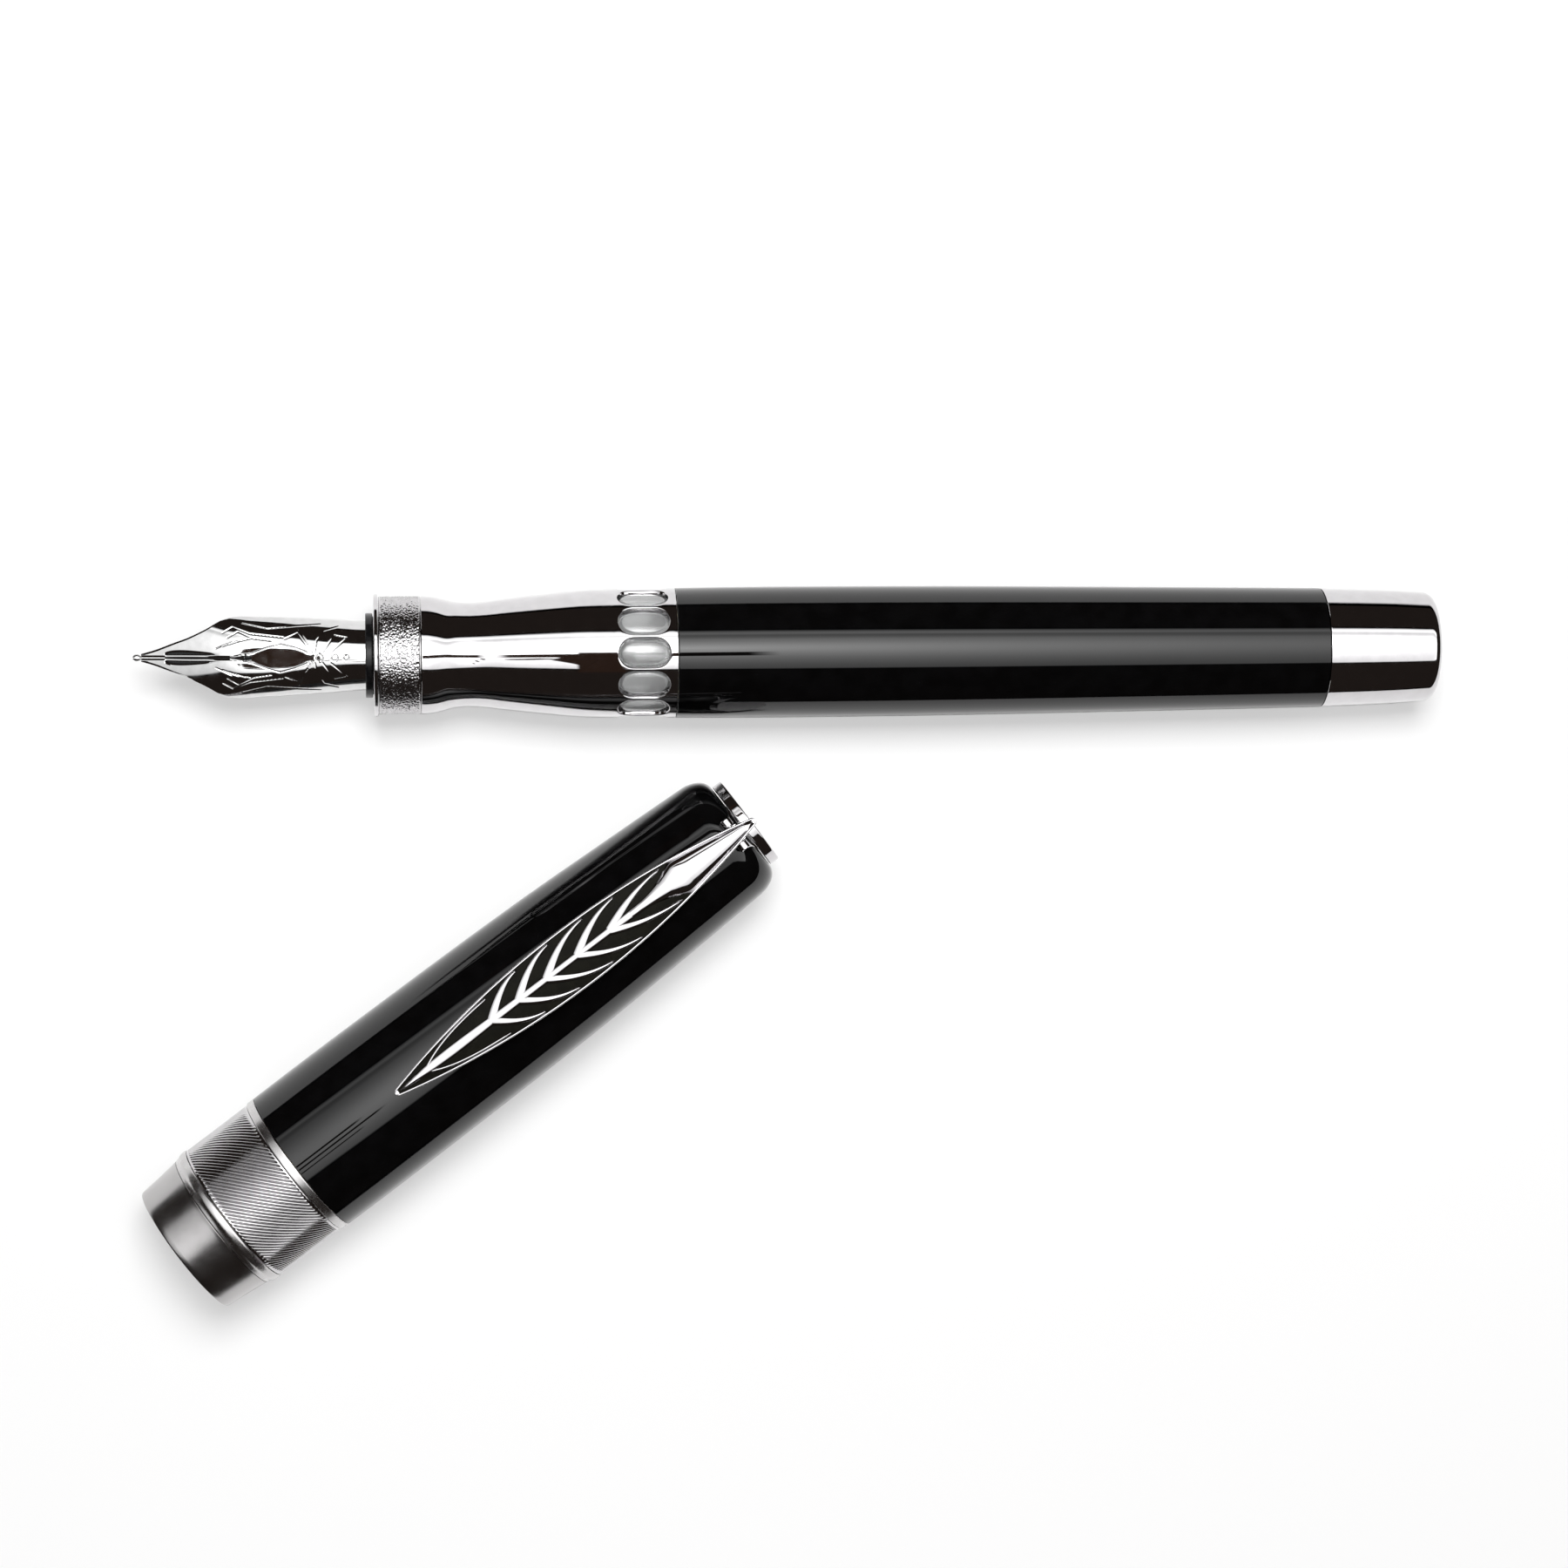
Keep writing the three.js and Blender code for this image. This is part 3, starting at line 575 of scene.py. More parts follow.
def outward(piece, inside):
    """Turns an open sheet's faces away from a point below it."""
    work = bmesh.new()
    work.from_mesh(piece.data)
    away = sum(f.calc_area() * f.normal.dot(f.calc_center_median() - inside) for f in work.faces)
    if away < 0:
        bmesh.ops.reverse_faces(work, faces=work.faces)
    work.to_mesh(piece.data)
    work.free()


def thickened(piece, thickness):
    """Gives a piece that is one sheet its thickness, for good."""
    solidify = piece.modifiers.new("thickness", "SOLIDIFY")
    solidify.thickness = thickness
    solidify.offset = -1
    graph = bpy.context.evaluated_depsgraph_get()
    graph.update()
    mesh = bpy.data.meshes.new_from_object(piece.evaluated_get(graph))
    piece.modifiers.clear()
    piece.data = mesh
    finish_shading(mesh, SHARP)


def make_nib():
    nib = refine("nib", "pen", "nib_steel", *nib_strips())
    outward(nib, PEN @ Vector(NIB_MIDDLE))
    thickened(nib, NIB_THICKNESS * MM)
    for side, name in ((1, "left"), (-1, "right")):
        make_tipping(name, side)


TIPPING_X, TIPPING_Z, TIPPING_HALF = 0.49, 0.78, 0.475  # middle, height and half length
TIPPING_RADIUS, TIPPING_SQUASH = 0.38, 0.9
TIPPING_GAP = 0.045  # from the centre line to its flat


def make_tipping(name, side):
    """Half of the pellet, from a flat against the slit."""
    rings, sides = 10, 20
    vertices = []
    for along in spread(0, pi, rings):
        reach = TIPPING_RADIUS * sin(along)
        for turn in spread(0, pi, sides):
            y = side * (TIPPING_GAP + reach * sin(turn) * TIPPING_SQUASH)
            z = TIPPING_Z + TIPPING_SQUASH * reach * cos(turn)
            vertices.append((TIPPING_X - TIPPING_HALF * cos(along), y, z))
    part = (vertices, grid_faces(rings + 1, sides + 1))
    refine("tipping_" + name, "pen", "nib_steel", part, weld=0.004)


# Distance from the point, half width, height of the underside.
FEED_ROWS = [
    (3.4, 0.5, 1.02), (6, 1.2, 0.7), (9, 2, -0.2), (12, 2.75, -1.4), (15, 3.05, -2.4),
    (18, 3.15, -3), (22, 3.2, -3.2), (34, 3.2, -3.2),
]
FEED_TABLE = hermite(FEED_ROWS, 8)
FIN_START, FIN_END, FIN_PITCH, FIN_WIDTH = 9.4, 22.6, 1.2, 0.42
FIN_STEP = 0.02  # along the feed, from a fin's edge to the slot
SLOT_WIDTH, SLOT_DEPTH = 0.78, 0.72  # of the section, between two fins
FEED_GAP = 0.08  # under the nib


def make_feed():
    stations = []
    x = FIN_START
    while x < FIN_END:
        slot_end = x + FIN_PITCH - FIN_WIDTH
        stations += [(x, 0), (x + FIN_STEP, 1), (slot_end, 1), (slot_end + FIN_STEP, 0)]
        x += FIN_PITCH
    plain = [3.4 + 0.4 * i for i in range(15)] + [23.9, 26, 30, 34]
    stations = sorted(stations + [(x, 0) for x in plain])
    steps = 16

    def section(i):
        x, slotted = stations[i]
        _, half, under = row_at(FEED_TABLE, x)
        row = nib_row(x)
        inset = NIB_THICKNESS + FEED_GAP
        wrap = asin(min(half / (row[2] - inset), 1))
        top = [nib_point_at(row, angle, inset) for angle in spread(-wrap, wrap, steps)]
        edge = top[-1][2]
        width = half * (SLOT_WIDTH if slotted else 1)
        depth = (edge - under) * (SLOT_DEPTH if slotted else 1)
        bottom = []
        for k in range(steps + 1):
            turn = pi * (k + 0.5) / (steps + 1)
            bottom.append((x, width * cos(turn), edge - depth * sin(turn)))
        return top + bottom

    refine("feed", "pen", "ebonite", swept(len(stations), section), sharp=40, weld=0)


# ---- Grip ----

GRIP_LINE = [
    (29.87, 6.19), (30.8, 6.13), (31.7, 5.98), (33.3, 5.57), (35.4, 5.46), (38.5, 5.82),
    (42.6, 6.28), (46.5, 6.65), (51, 6.77), (56.35, 6.8),
]
GRIP_TABLE = hermite(GRIP_LINE, 6)
GRIP_BORE, CORE_BORE, WINDOW_BORE = 4.85, 5.5, 5.95
WINDOW_ZONE = (49.7, 56.35)  # the part of the grip that the windows' sectors cover
SECTOR_COLUMNS, SECTOR_ROWS = 12, 14
WINDOW_MIDDLE = 52.9
WINDOW_HALF = (2.65, 1.59)
WINDOW_RADIUS = 6.78  # at which angles are taken as widths
WINDOW_CAP = 0.95  # length of the rounded ends, as a share of the half width
RIM = 0.13  # the bevel round a window
RIM_LOOPS = ((1.0, 0.0), (0.72, 0.012), (0.35, 0.05), (0.0, 0.13))  # share of it, and drop
FAR_LOOPS = (0.45, 0.8)  # shares of the way from a sector's outline to its window


def inside_window(x, y):
    half_length, half_width = WINDOW_HALF
    cap = WINDOW_CAP * half_width
    beyond = max(abs(x) - (half_length - cap), 0)
    return (beyond / cap) ** 2 + (y / half_width) ** 2 <= 1


def window_edge(x, y):
    """The point of the window's outline on the line from its centre through x, y."""
    low, high = 0.0, 4.0
    for _ in range(30):
        middle = (low + high) / 2
        if inside_window(x * middle, y * middle):
            low = middle
        else:
            high = middle
    return x * low, y * low


def sector_outline():
    """Points round a window's sector, as x from the window and angle from its middle."""
    front, back = (x - WINDOW_MIDDLE for x in WINDOW_ZONE)
    half = pi / WINDOWS
    angles, xs = spread(-half, half, SECTOR_COLUMNS), spread(front, back, SECTOR_ROWS)
    loop = [(front, a) for a in angles] + [(x, half) for x in xs[1:]]
    return loop + [(back, a) for a in angles[-2::-1]] + [(x, -half) for x in xs[-2:0:-1]]


def windowed_zone():
    """The grip round its windows: each sector is a set of loops from its outline to the wall."""
    outline = sector_outline()
    edges = [window_edge(x, a * WINDOW_RADIUS) for x, a in outline]

    def rim(share):
        """The window's edge, grown by a share of its bevel."""
        grown = [1 + share * RIM / hypot(x, y) for x, y in edges]
        return [(x * g, y * g / WINDOW_RADIUS) for (x, y), g in zip(edges, grown)]

    outside = [(outline, 0)]
    for share in FAR_LOOPS:
        pairs = zip(outline, rim(1))
        outside.append(([(x + share * (u - x), a + share * (v - a)) for (x, a), (u, v) in pairs], 0))
    outside += [(rim(share), drop) for share, drop in RIM_LOOPS]
    parts = []
    for sector in range(WINDOWS):
        middle = WINDOW_PHASE + sector * tau / WINDOWS
        vertices = []
        for loop, drop in outside:
            for x, angle in loop:
                radius = row_at(GRIP_TABLE, WINDOW_MIDDLE + x)[1] - drop
                vertices.append(on_round(WINDOW_MIDDLE + x, radius, middle + angle))
        for loop in (rim(0), outline):
            vertices += [on_round(WINDOW_MIDDLE + x, WINDOW_BORE, middle + a) for x, a in loop]
        parts.append((vertices, grid_faces(len(outside) + 2, len(outline))))
    return parts


def make_grip():
    zone, back = WINDOW_ZONE
    outer = [p for p in GRIP_TABLE if p[0] < zone - 0.05] + [(zone, row_at(GRIP_TABLE, zone)[1])]
    bore = [(29.87, GRIP_BORE), (39.9, GRIP_BORE), (39.9, CORE_BORE), (47, CORE_BORE)]
    bore += [(47, WINDOW_BORE), (zone, WINDOW_BORE)]
    front = filleted(bore[::-1] + outer, 0.05, closed=False)
    rear = [(back, row_at(GRIP_TABLE, back)[1]), (back, WINDOW_BORE)]
    sides = {"closed": False, "phase": WINDOW_PHASE, "sides": WINDOWS * SECTOR_COLUMNS}
    parts = [revolved(front, **sides), revolved(rear, **sides), *windowed_zone()]
    refine("grip_shell", "pen", "chrome", *parts)


def band_outline(span, radius, edge, rows, gap, corner, sunk=0.0):
    """The outside of a ring whose face, between two plain edges, has points for fine relief."""
    front, back = span
    start = [(front, radius - corner), (front + 0.05, radius), (front + edge - gap, radius)]
    face = [(x, radius - sunk) for x in spread(front + edge, back - edge, rows)]
    return start + face + [(front + back - x, r) for x, r in reversed(start)]


GRIP_BAND, GRIP_BAND_RADIUS, GRIP_BAND_EDGE = (25.47, 29.82), 6.17, 0.16
GRAINS = ((6.4, 1.0, (0, 0, 0)), (11.5, 0.6, (7, 3, 1)))  # fineness, share and shift of the noise
GRAIN_DEPTH, GRAIN_SINK, GRAIN_LIMIT = 0.06, 0.04, 0.8


def make_grip_band():
    front, back = GRIP_BAND

    def grain(x, angle):
        if not front + GRIP_BAND_EDGE < x < back - GRIP_BAND_EDGE:
            return 0.0
        p = Vector(on_round(x, GRIP_BAND_RADIUS, angle))
        pits = sum(share * noise.noise(p * scale + Vector(shift)) for scale, share, shift in GRAINS)
        return GRAIN_DEPTH * max(min(pits, GRAIN_LIMIT), -GRAIN_LIMIT) - GRAIN_SINK

    outer = band_outline(GRIP_BAND, GRIP_BAND_RADIUS, GRIP_BAND_EDGE, 78, 0.03, 0.05, 0.02)
    profile = outer + [(back, GRIP_BORE), (front, GRIP_BORE)]
    part = revolved(profile, sides=640, relief=grain)
    refine("grip_band", "pen", "textured_metal", part, sharp=60)


def make_section_front():
    lip = [(24.95, 6.3), (25.03, 6.39), (25.34, 6.39), (25.42, 6.3)]
    lip = tube(lip, [(24.95, 4.1), (25.42, 4.1)], 0.05)
    refine("section_lip", "pen", "chrome", revolved(lip))
    collar = [(24.1, 4.42), (24.85, 4.42), (24.85, 4.05), (35, 4.05)]
    collar = tube(collar, [(24.1, 3.72), (35, 3.72)], 0.12)
    refine("nib_collar", "pen", "ebonite", revolved(collar))


LENS_ZONE = (47.05, 56.2)
LENS_HALF = (2.5, 1.45)
LENS_RADIUS = 6.5  # at which angles are taken as widths
LENS_WALL, LENS_DOME = 0.52, 0.18  # height of the steep edge, and of the dome on it


def lens_height(x, angle):
    """How far the clear ring stands up into the windows."""
    if not LENS_ZONE[0] < x < LENS_ZONE[1]:
        return 0.0
    sector = tau / WINDOWS
    off = (angle - WINDOW_PHASE + sector / 2) % sector - sector / 2
    u, v = (x - WINDOW_MIDDLE) / LENS_HALF[0], off * LENS_RADIUS / LENS_HALF[1]
    reach = max(1 - (abs(u) ** 2.8 + abs(v) ** 2.2), 0)
    return LENS_WALL * min(reach * 4, 1) ** 0.5 + LENS_DOME * reach


def make_chamber():
    front, back = LENS_ZONE
    ring = [(x, 5.88) for x in spread(front, back, 84)]
    outer = [(40, 5.42), (front - 0.02, 5.42), *ring, (back + 0.02, 5.25), (113, 5.25)]
    bore = [(40, 4.9), (48, 4.9), (48.6, 4.55), (113, 4.55)]
    part = revolved(outer + bore[::-1], sides=360, relief=lens_height)
    refine("ink_chamber", "pen", "clear_resin", part, sharp=50)


# ---- Barrel and filler ----

BARREL_LINE = [
    (56.45, 6.81), (61, 6.86), (66, 6.885), (77, 6.87), (86.5, 6.81), (96, 6.71), (105, 6.6),
    (114.5, 6.48), (125.15, 6.33),
]
THREAD_PITCH = 0.7


def threaded(front, back, radius, depth):
    """The outline of a fine thread, drawn as rings."""
    points, x = [], front
    while x < back - THREAD_PITCH / 2:
        points += [(x, radius - depth), (x + THREAD_PITCH / 2, radius)]
        x += THREAD_PITCH
    return points + [(back, radius - depth)]


def make_barrel():
    outer = hermite(BARREL_LINE, 5)
    bore = [(56.45, 5.95), (61, 5.95), (61, 5.45), (125.15, 5.45)]
    refine("barrel", "pen", "black_resin", revolved(tube(outer, bore, 0.07)))
    thread = threaded(125.3, 130.3, 4.3, 0.22)
    gland = [(110.2, 4.5), (113.1, 4.5), (113.1, 5.4), (125.1, 5.4), *thread]
    hole = [(110.2, 1.4), (117, 1.4), (117, 2.5), (130.3, 2.5)]
    refine("rear_gland", "pen", "brass", revolved(tube(gland, hole, 0.08)))
    nut = sleeve(119.4, 124, 2.42, 1.35)
    refine("gland_nut", "pen", "brass", revolved(nut, sides=64))


ROD_RADIUS, ROD_BORE = 1.2, 1.25  # of the rod, and of what is threaded on it
SEAL_EDGE = 4.45


def make_plunger():
    rod = [(40.1, 0), (40.1, ROD_RADIUS), (132.7, ROD_RADIUS), (132.7, 0)]
    refine("filler_rod", "plunger", "nib_steel", solid(rod, 0.12, sides=48))
    head = sleeve(45.5, 47.2, 4.3, ROD_BORE, 0.15)
    refine("plunger_head", "plunger", "ebonite", revolved(head))
    cup = [(42.4, SEAL_EDGE), (43.2, SEAL_EDGE - 0.12), (45.4, SEAL_EDGE - 0.3)]
    hollow = [(42.4, SEAL_EDGE - 0.6), (44.3, SEAL_EDGE - 0.9), (44.3, ROD_BORE), (45.4, ROD_BORE)]
    refine("plunger_seal", "plunger", "rubber", revolved(tube(cup, hollow, 0.08)))
    tip = [(38.5, 0), (38.5, 1.1), (40.05, 2.5), (40.05, 0)]
    refine("valve_tip", "plunger", "rubber", solid(tip, 0.2, sides=64))


KNOB_ROUND, KNOB_FALL = 1.15, 1.1  # length and drop of the rounding at the knob's end


def make_knob():
    end = (KNOB_END - KNOB_ROUND, 5.83)
    line = hermite([(125.25, 6.31), (129.5, 6.18), (133.3, 6.02), end], 5)
    edge = quarter_round(*end, KNOB_ROUND, KNOB_FALL)[1:]
    bore = [(133.2, 0), (133.2, 2.9), (131.6, 2.9), (131.6, 5.35), (125.25, 5.35)]
    knob = solid([*bore, *line, *edge, (KNOB_END, 0)], 0.07)
    refine("knob", "filler_knob", "chrome", knob)


# ---- Cap ----

CAP_BORE = 7.05
RING_BORE = 7.3  # of the rings and the band round the sleeve
TUBE_LINE = [
    (15.35, 8.26), (22, 8.28), (32, 8.21), (42, 8.09), (51, 7.88), (60, 7.49), (66, 7.21),
    (70.3, 6.99),
]
TUBE_END = 73.2
BAND_SPAN, BAND_RADIUS, BAND_EDGE = (6.4, 14.35), 8.12, 0.3
BAND_RIDGES = 99
BAND_DEPTH = 0.15
BAND_LEAN = 0.136  # radians that a ridge turns in a millimetre


def make_cap_mouth():
    lip = hermite([(0.22, 7.46), (2.2, 7.63), (4.4, 7.87), (4.85, 7.95)], 5)
    bore = [(0, CAP_BORE + 0.14), (0.3, CAP_BORE), (4.85, CAP_BORE)]
    lip = tube([(0, 7.3), (0.06, 7.4), *lip], bore, 0.05)
    refine("cap_lip", "cap", "chrome", revolved(lip), material="lip_chrome")
    flare = hermite([(4.9, 7.96), (5.3, 8.05), (5.55, 8.2), (5.75, 8.25), (6.15, 8.25)], 4)
    front = tube([*flare, (6.35, 8.16)], [(4.9, RING_BORE), (6.35, RING_BORE)], 0.04)
    rear = sleeve(14.4, 15.3, 8.25, RING_BORE, 0.1)
    for name, ring in (("front", front), ("rear", rear)):
        refine("cap_ring_" + name, "cap", "chrome", revolved(ring), material="satin_chrome")
    refine("cap_sleeve", "cap", "brass", revolved(sleeve(4.9, 22.25, 7.25, CAP_BORE)))
    refine("closure_magnet", "cap", "magnet", revolved(sleeve(31.9, 34.3, 7, 5.2, 0.15)))


def make_cap_band():
    """Engine turning: ridges that lean round the band, on a mesh that leans with them."""
    front, back = BAND_SPAN
    plain = BAND_EDGE * 0.9

    def ridges(x, angle):
        if not front + plain < x < back - plain:
            return 0.0
        wave = abs(sin((angle + BAND_LEAN * (x - front)) * BAND_RIDGES / 2))
        return -BAND_DEPTH * (1 - wave) ** 1.5

    outer = band_outline(BAND_SPAN, BAND_RADIUS, BAND_EDGE, 32, 0.04, 0.04)
    profile = outer + [(back, RING_BORE), (front, RING_BORE)]
    part = revolved(profile, sides=BAND_RIDGES * 8, relief=ridges, twist=-BAND_LEAN)
    refine("cap_band", "cap", "textured_metal", part, material="turned_metal", sharp=70)


def make_cap_tube():
    outer = hermite(TUBE_LINE, 5) + quarter_round(70.3, 6.99, TUBE_END - 70.3, 1.85)[1:]
    bore = [(15.35, 7.3), (22.3, 7.3), (22.3, 7.1), (48, 7.1), (64, 6.3), (66.5, 6.3)]
    bore += [(66.5, 1.75), (72.3, 1.75), (72.3, 4.7), (TUBE_END, 4.7)]
    refine("cap_tube", "cap", "black_resin", revolved(tube(outer, bore)))


def mirrored(right):
    """The other half of a section that is the same on both sides."""
    return [(x, -y, z) for x, y, z in reversed(right)]


def make_cap_end():
    disc = [(73.3, 0), (73.3, 5.1), (74.4, 5.1), (74.4, 0)]
    refine("finial_disc", "cap", "chrome", solid(disc, 0.16, steps=5))
    washer = revolved(sleeve(72.4, 73.1, 4.6, 1.65))
    parts = [washer, bracket(), ear(-1), ear(1)]
    refine("clip_mount", "cap", "chrome", *parts, weld=0)


BRACKET_FOOT, BRACKET_CORNER = 3.3, 0.25


def bracket():
    """A bar along X, from rows of (x, half width, height), with rounded upper edges."""
    rows = [(71.55, 1.8, 6.55), (71.65, 1.88, 6.7), (72.2, 1.92, 6.65)]
    rows += [(72.6, 2.0, 6.25), (72.95, 2.25, 5.6), (73.25, 2.8, 4.9)]
    rows = hermite(rows, 3)

    def section(i):
        x, half, high = rows[i]
        corner = min(BRACKET_CORNER, half * 0.5)
        right = [(x, half, BRACKET_FOOT)]
        for t in (1.57, 1.05, 0.52, 0.0):
            right.append((x, half - corner * (1 - sin(t)), high - corner * (1 - cos(t))))
        return right + mirrored(right)

    return swept(len(rows), section)


def lobe(side, faces, x, z, half, rise, foot):
    """A round-ended plate from z=foot past the hinge pin. faces: place across, and inset."""

    def section(i):
        y, inset = side * faces[i][0], faces[i][1]
        reach, height = half - inset, rise - inset
        arc = [(x + reach * cos(t), y, z + height * sin(t)) for t in spread(0, pi, 8)]
        return [(x + reach, y, foot), *arc, (x - reach, y, foot)]

    return swept(len(faces), section)


EAR_FACES = ((1.0, 0.08), (1.08, 0), (1.82, 0), (1.9, 0.08))
LUG_FACES = ((0.5, 0), (0.9, 0))


def ear(side):
    """A lobe of the cap beside the clip."""
    return lobe(side, EAR_FACES, PIN.x, 7.15, 0.6, 0.55, 6.2)


def lug(side):
    """A lobe under the leaf."""
    return lobe(side, LUG_FACES, 0, -0.1, 0.62, -0.5, LEAF_LOW + 0.1)


# ---- Clip, in its own frame: X from the pin, and the leaf's underside at LEAF_LOW ----

LOW_TIP, HIGH_TIP, LEAF_HALF, NOSE = 28.2, 74.75, 3.2, 0.5
LEAF_LOW = 0.8
FLOOR, RIM_TOP, RIB_TOP = 1.12, 1.42, 1.58
RIB_ROOTS = (41.2, 44.7, 48.3, 52.3, 56.5)
RIB_TIPS = (45.8, 50.1, 54.5, 58.4, 63.8)
RIB_INSET, RIB_WIDTH, RIB_LEAST = 0.42, 0.36, 0.13  # from the leaf's edge; half width, its least
BLADE = (32.4, 41.4)  # the long slim pair
BLADE_INSET, BLADE_WIDTH, BLADE_DROP = 0.5, 0.17, 0.06
FILL = 0.2  # from the leaf's edge to the lacquer and the spear
LACQUER_BASE, LACQUER_EDGE, LACQUER_DOME = FLOOR - 0.12, FLOOR - 0.06, 0.16
SPEAR_SIDE, SPEAR_DOME = 0.5, 0.24  # width of its sloping side, and rise of its crest


def leaf_half(s):
    """Half of the leaf's width: two arcs, and a round nose at each end."""
    half_length = (HIGH_TIP - LOW_TIP) / 2
    meeting = half_length + 2.75 * NOSE  # where the two arcs would meet
    radius = (meeting**2 + LEAF_HALF**2) / (2 * LEAF_HALF)
    offset = min(abs(s - (LOW_TIP + HIGH_TIP) / 2), half_length)
    arc = sqrt(radius**2 - offset**2) - (radius - LEAF_HALF)
    into_nose = max(NOSE - (half_length - offset), 0)
    return min(arc, sqrt(NOSE**2 - into_nose**2)) if into_nose else arc


def leaf_stations(margin):
    """Places along the leaf, closer together towards its ends."""
    low, high = LOW_TIP + margin, HIGH_TIP - margin
    return [low + (high - low) * (1 - cos(t)) / 2 for t in spread(0, pi, 70)]


def on_clip(count, section):
    """A swept bar, from sections with X from the cap's mouth, as one with X from the pin."""
    vertices, faces = swept(count, section)
    return [(x - PIN.x, y, z) for x, y, z in vertices], faces


def leaf_plate():
    """The chrome body of the leaf: a plate with a raised, rounded rim."""
    stations = leaf_stations(0.01)
    inset = [(0.0, LEAF_LOW + 0.06), (0.0, RIM_TOP - 0.12), (0.05, RIM_TOP - 0.03), (0.1, RIM_TOP)]
    inset += [(0.17, RIM_TOP), (0.22, RIM_TOP - 0.04), (0.25, RIM_TOP - 0.14), (0.26, FLOOR - 0.08)]

    def section(i):
        s = stations[i]
        half = max(leaf_half(s), 0.02)
        right = [(s, half - 0.06 * half / (half + 0.05), LEAF_LOW)]
        right += [(s, half - min(d, half * 0.9), z) for d, z in inset]
        return right + mirrored(right)

    return on_clip(len(stations), section)


RIDGE_SHAPE = [(-1, 0), (-0.97, 0.5), (-0.86, 0.82), (-0.7, 0.9), (-0.06, 1.0), (0, 1.0)]
RIDGE_SHAPE += [(-u, v) for u, v in reversed(RIDGE_SHAPE[:-1])]
RIDGE_BASE = FLOOR - 0.05
RIDGE_TAPER = 0.12  # half width under which a ridge loses height
RIDGE_STEPS = 22
RIDGE_LEAST = 0.02  # half width at a ridge's ends


def ridge(path, widths, top=RIB_TOP):
    """A bar with bevelled edges along a path in the plan."""
    count = len(path)

    def section(i):
        a, b = Vector(path[max(i - 1, 0)]), Vector(path[min(i + 1, count - 1)])
        along = (b - a).normalized()
        across = Vector((-along.y, along.x)) * widths[i]
        height = (top - RIDGE_BASE) * min(1, widths[i] / RIDGE_TAPER)
        middle = Vector(path[i])
        return [(*(middle + across * u), RIDGE_BASE + v * height) for u, v in RIDGE_SHAPE]

    return on_clip(count, section)


def rib(root, tip, side):
    """One of the pairs that curve from the spine to the leaf's edge and thin out."""
    reach = (leaf_half(tip) - RIB_INSET) * side
    length = tip - root
    near, far = (root + 0.26 * length, 0.6 * reach), (root + 0.58 * length, 0.93 * reach)
    path = cubic([(root - 0.6, 0.05 * side), near, far, (tip, reach)], RIDGE_STEPS)
    widths = []
    for t in spread(0, 1, RIDGE_STEPS):
        end = min((1 - t) * 12, 1) ** 0.5
        widths.append(max((RIB_WIDTH * (1 - t) ** 0.8 + RIB_LEAST) * end, RIDGE_LEAST))
    return ridge(path, widths)


def blade(side):
    """One of the slim pair at the lower end."""
    start, end = BLADE
    reach = (leaf_half(end) - BLADE_INSET) * side
    near, far = (start + 1.3, 0.95 * side), (start + 3.5, 0.82 * reach)
    path = cubic([(start - 0.3, 0.1 * side), near, far, (end, reach)], RIDGE_STEPS)
    widths = []
    for left in range(RIDGE_STEPS, -1, -1):
        widths.append(max(BLADE_WIDTH * min(left / 2 + 0.2, 1) ** 0.5, RIDGE_LEAST))
    return ridge(path, widths, RIB_TOP - BLADE_DROP)


def spine():
    rows = [(28.9, 0.03), (30, 0.22), (32.5, 0.48), (36, 0.56), (41, 0.48), (50, 0.4)]
    points = hermite(rows + [(56, 0.42), (60, 0.5)], 8)
    return ridge([(x, 0.0) for x, _ in points], [width for _, width in points])


SPEAR_ROOT = (58.6, 60, 61.4, 62.8, 64, 65), (0.42, 0.5, 0.72, 1.15, 1.65, 2.0)
SPEAR_BODY = (66.2, 67.6, 69, 71, 72.6, 73.6)  # where it fills the leaf
SPEAR_BASE = FLOOR - 0.06
SPEAR_CREST = 0.78  # least share of the width that the crest takes up
SPEAR_SWELL = (58, 0.5, 0.12)  # where the crest starts to rise, its first width, and its growth


def spear():
    """The upper end: a crest on sloping sides that grows until it fills the leaf."""
    rows = [*zip(*SPEAR_ROOT)] + [(s, leaf_half(s) - FILL) for s in SPEAR_BODY] + [(74.4, 0.05)]
    stations = hermite(rows, 6)
    start, first, growth = SPEAR_SWELL

    def section(i):
        s, half = stations[i]
        crest = max(half - SPEAR_SIDE, SPEAR_CREST * half)
        rise = SPEAR_DOME * min(crest, first + growth * (s - start))
        edge = SPEAR_BASE + (RIB_TOP - SPEAR_BASE) * min(half / 0.5, 1) ** 0.5
        right = [(s, half, SPEAR_BASE)]
        for u in spread(1, 0, 6):
            right.append((s, u * crest, edge + rise * (1 - u * u)))
        return right + mirrored(right[:-1])

    return on_clip(len(stations), section)


def lacquer_floor():
    """The gently domed black floor between the ribs."""
    stations = leaf_stations(0.35)

    def section(i):
        s = stations[i]
        half = max(leaf_half(s) - FILL, 0.03)
        out = []
        for u in spread(1, -1, 24):
            dome = LACQUER_DOME * (1 - u * u) * min(half / 1.5, 1)
            out.append((s, u * half, LACQUER_EDGE + dome))
        return out + [(s, -half, LACQUER_BASE), (s, half, LACQUER_BASE)]

    return on_clip(len(stations), section)


BEAD_X, BEAD_LENGTH, BEAD_RADIUS = 30.4, 0.75, 0.78


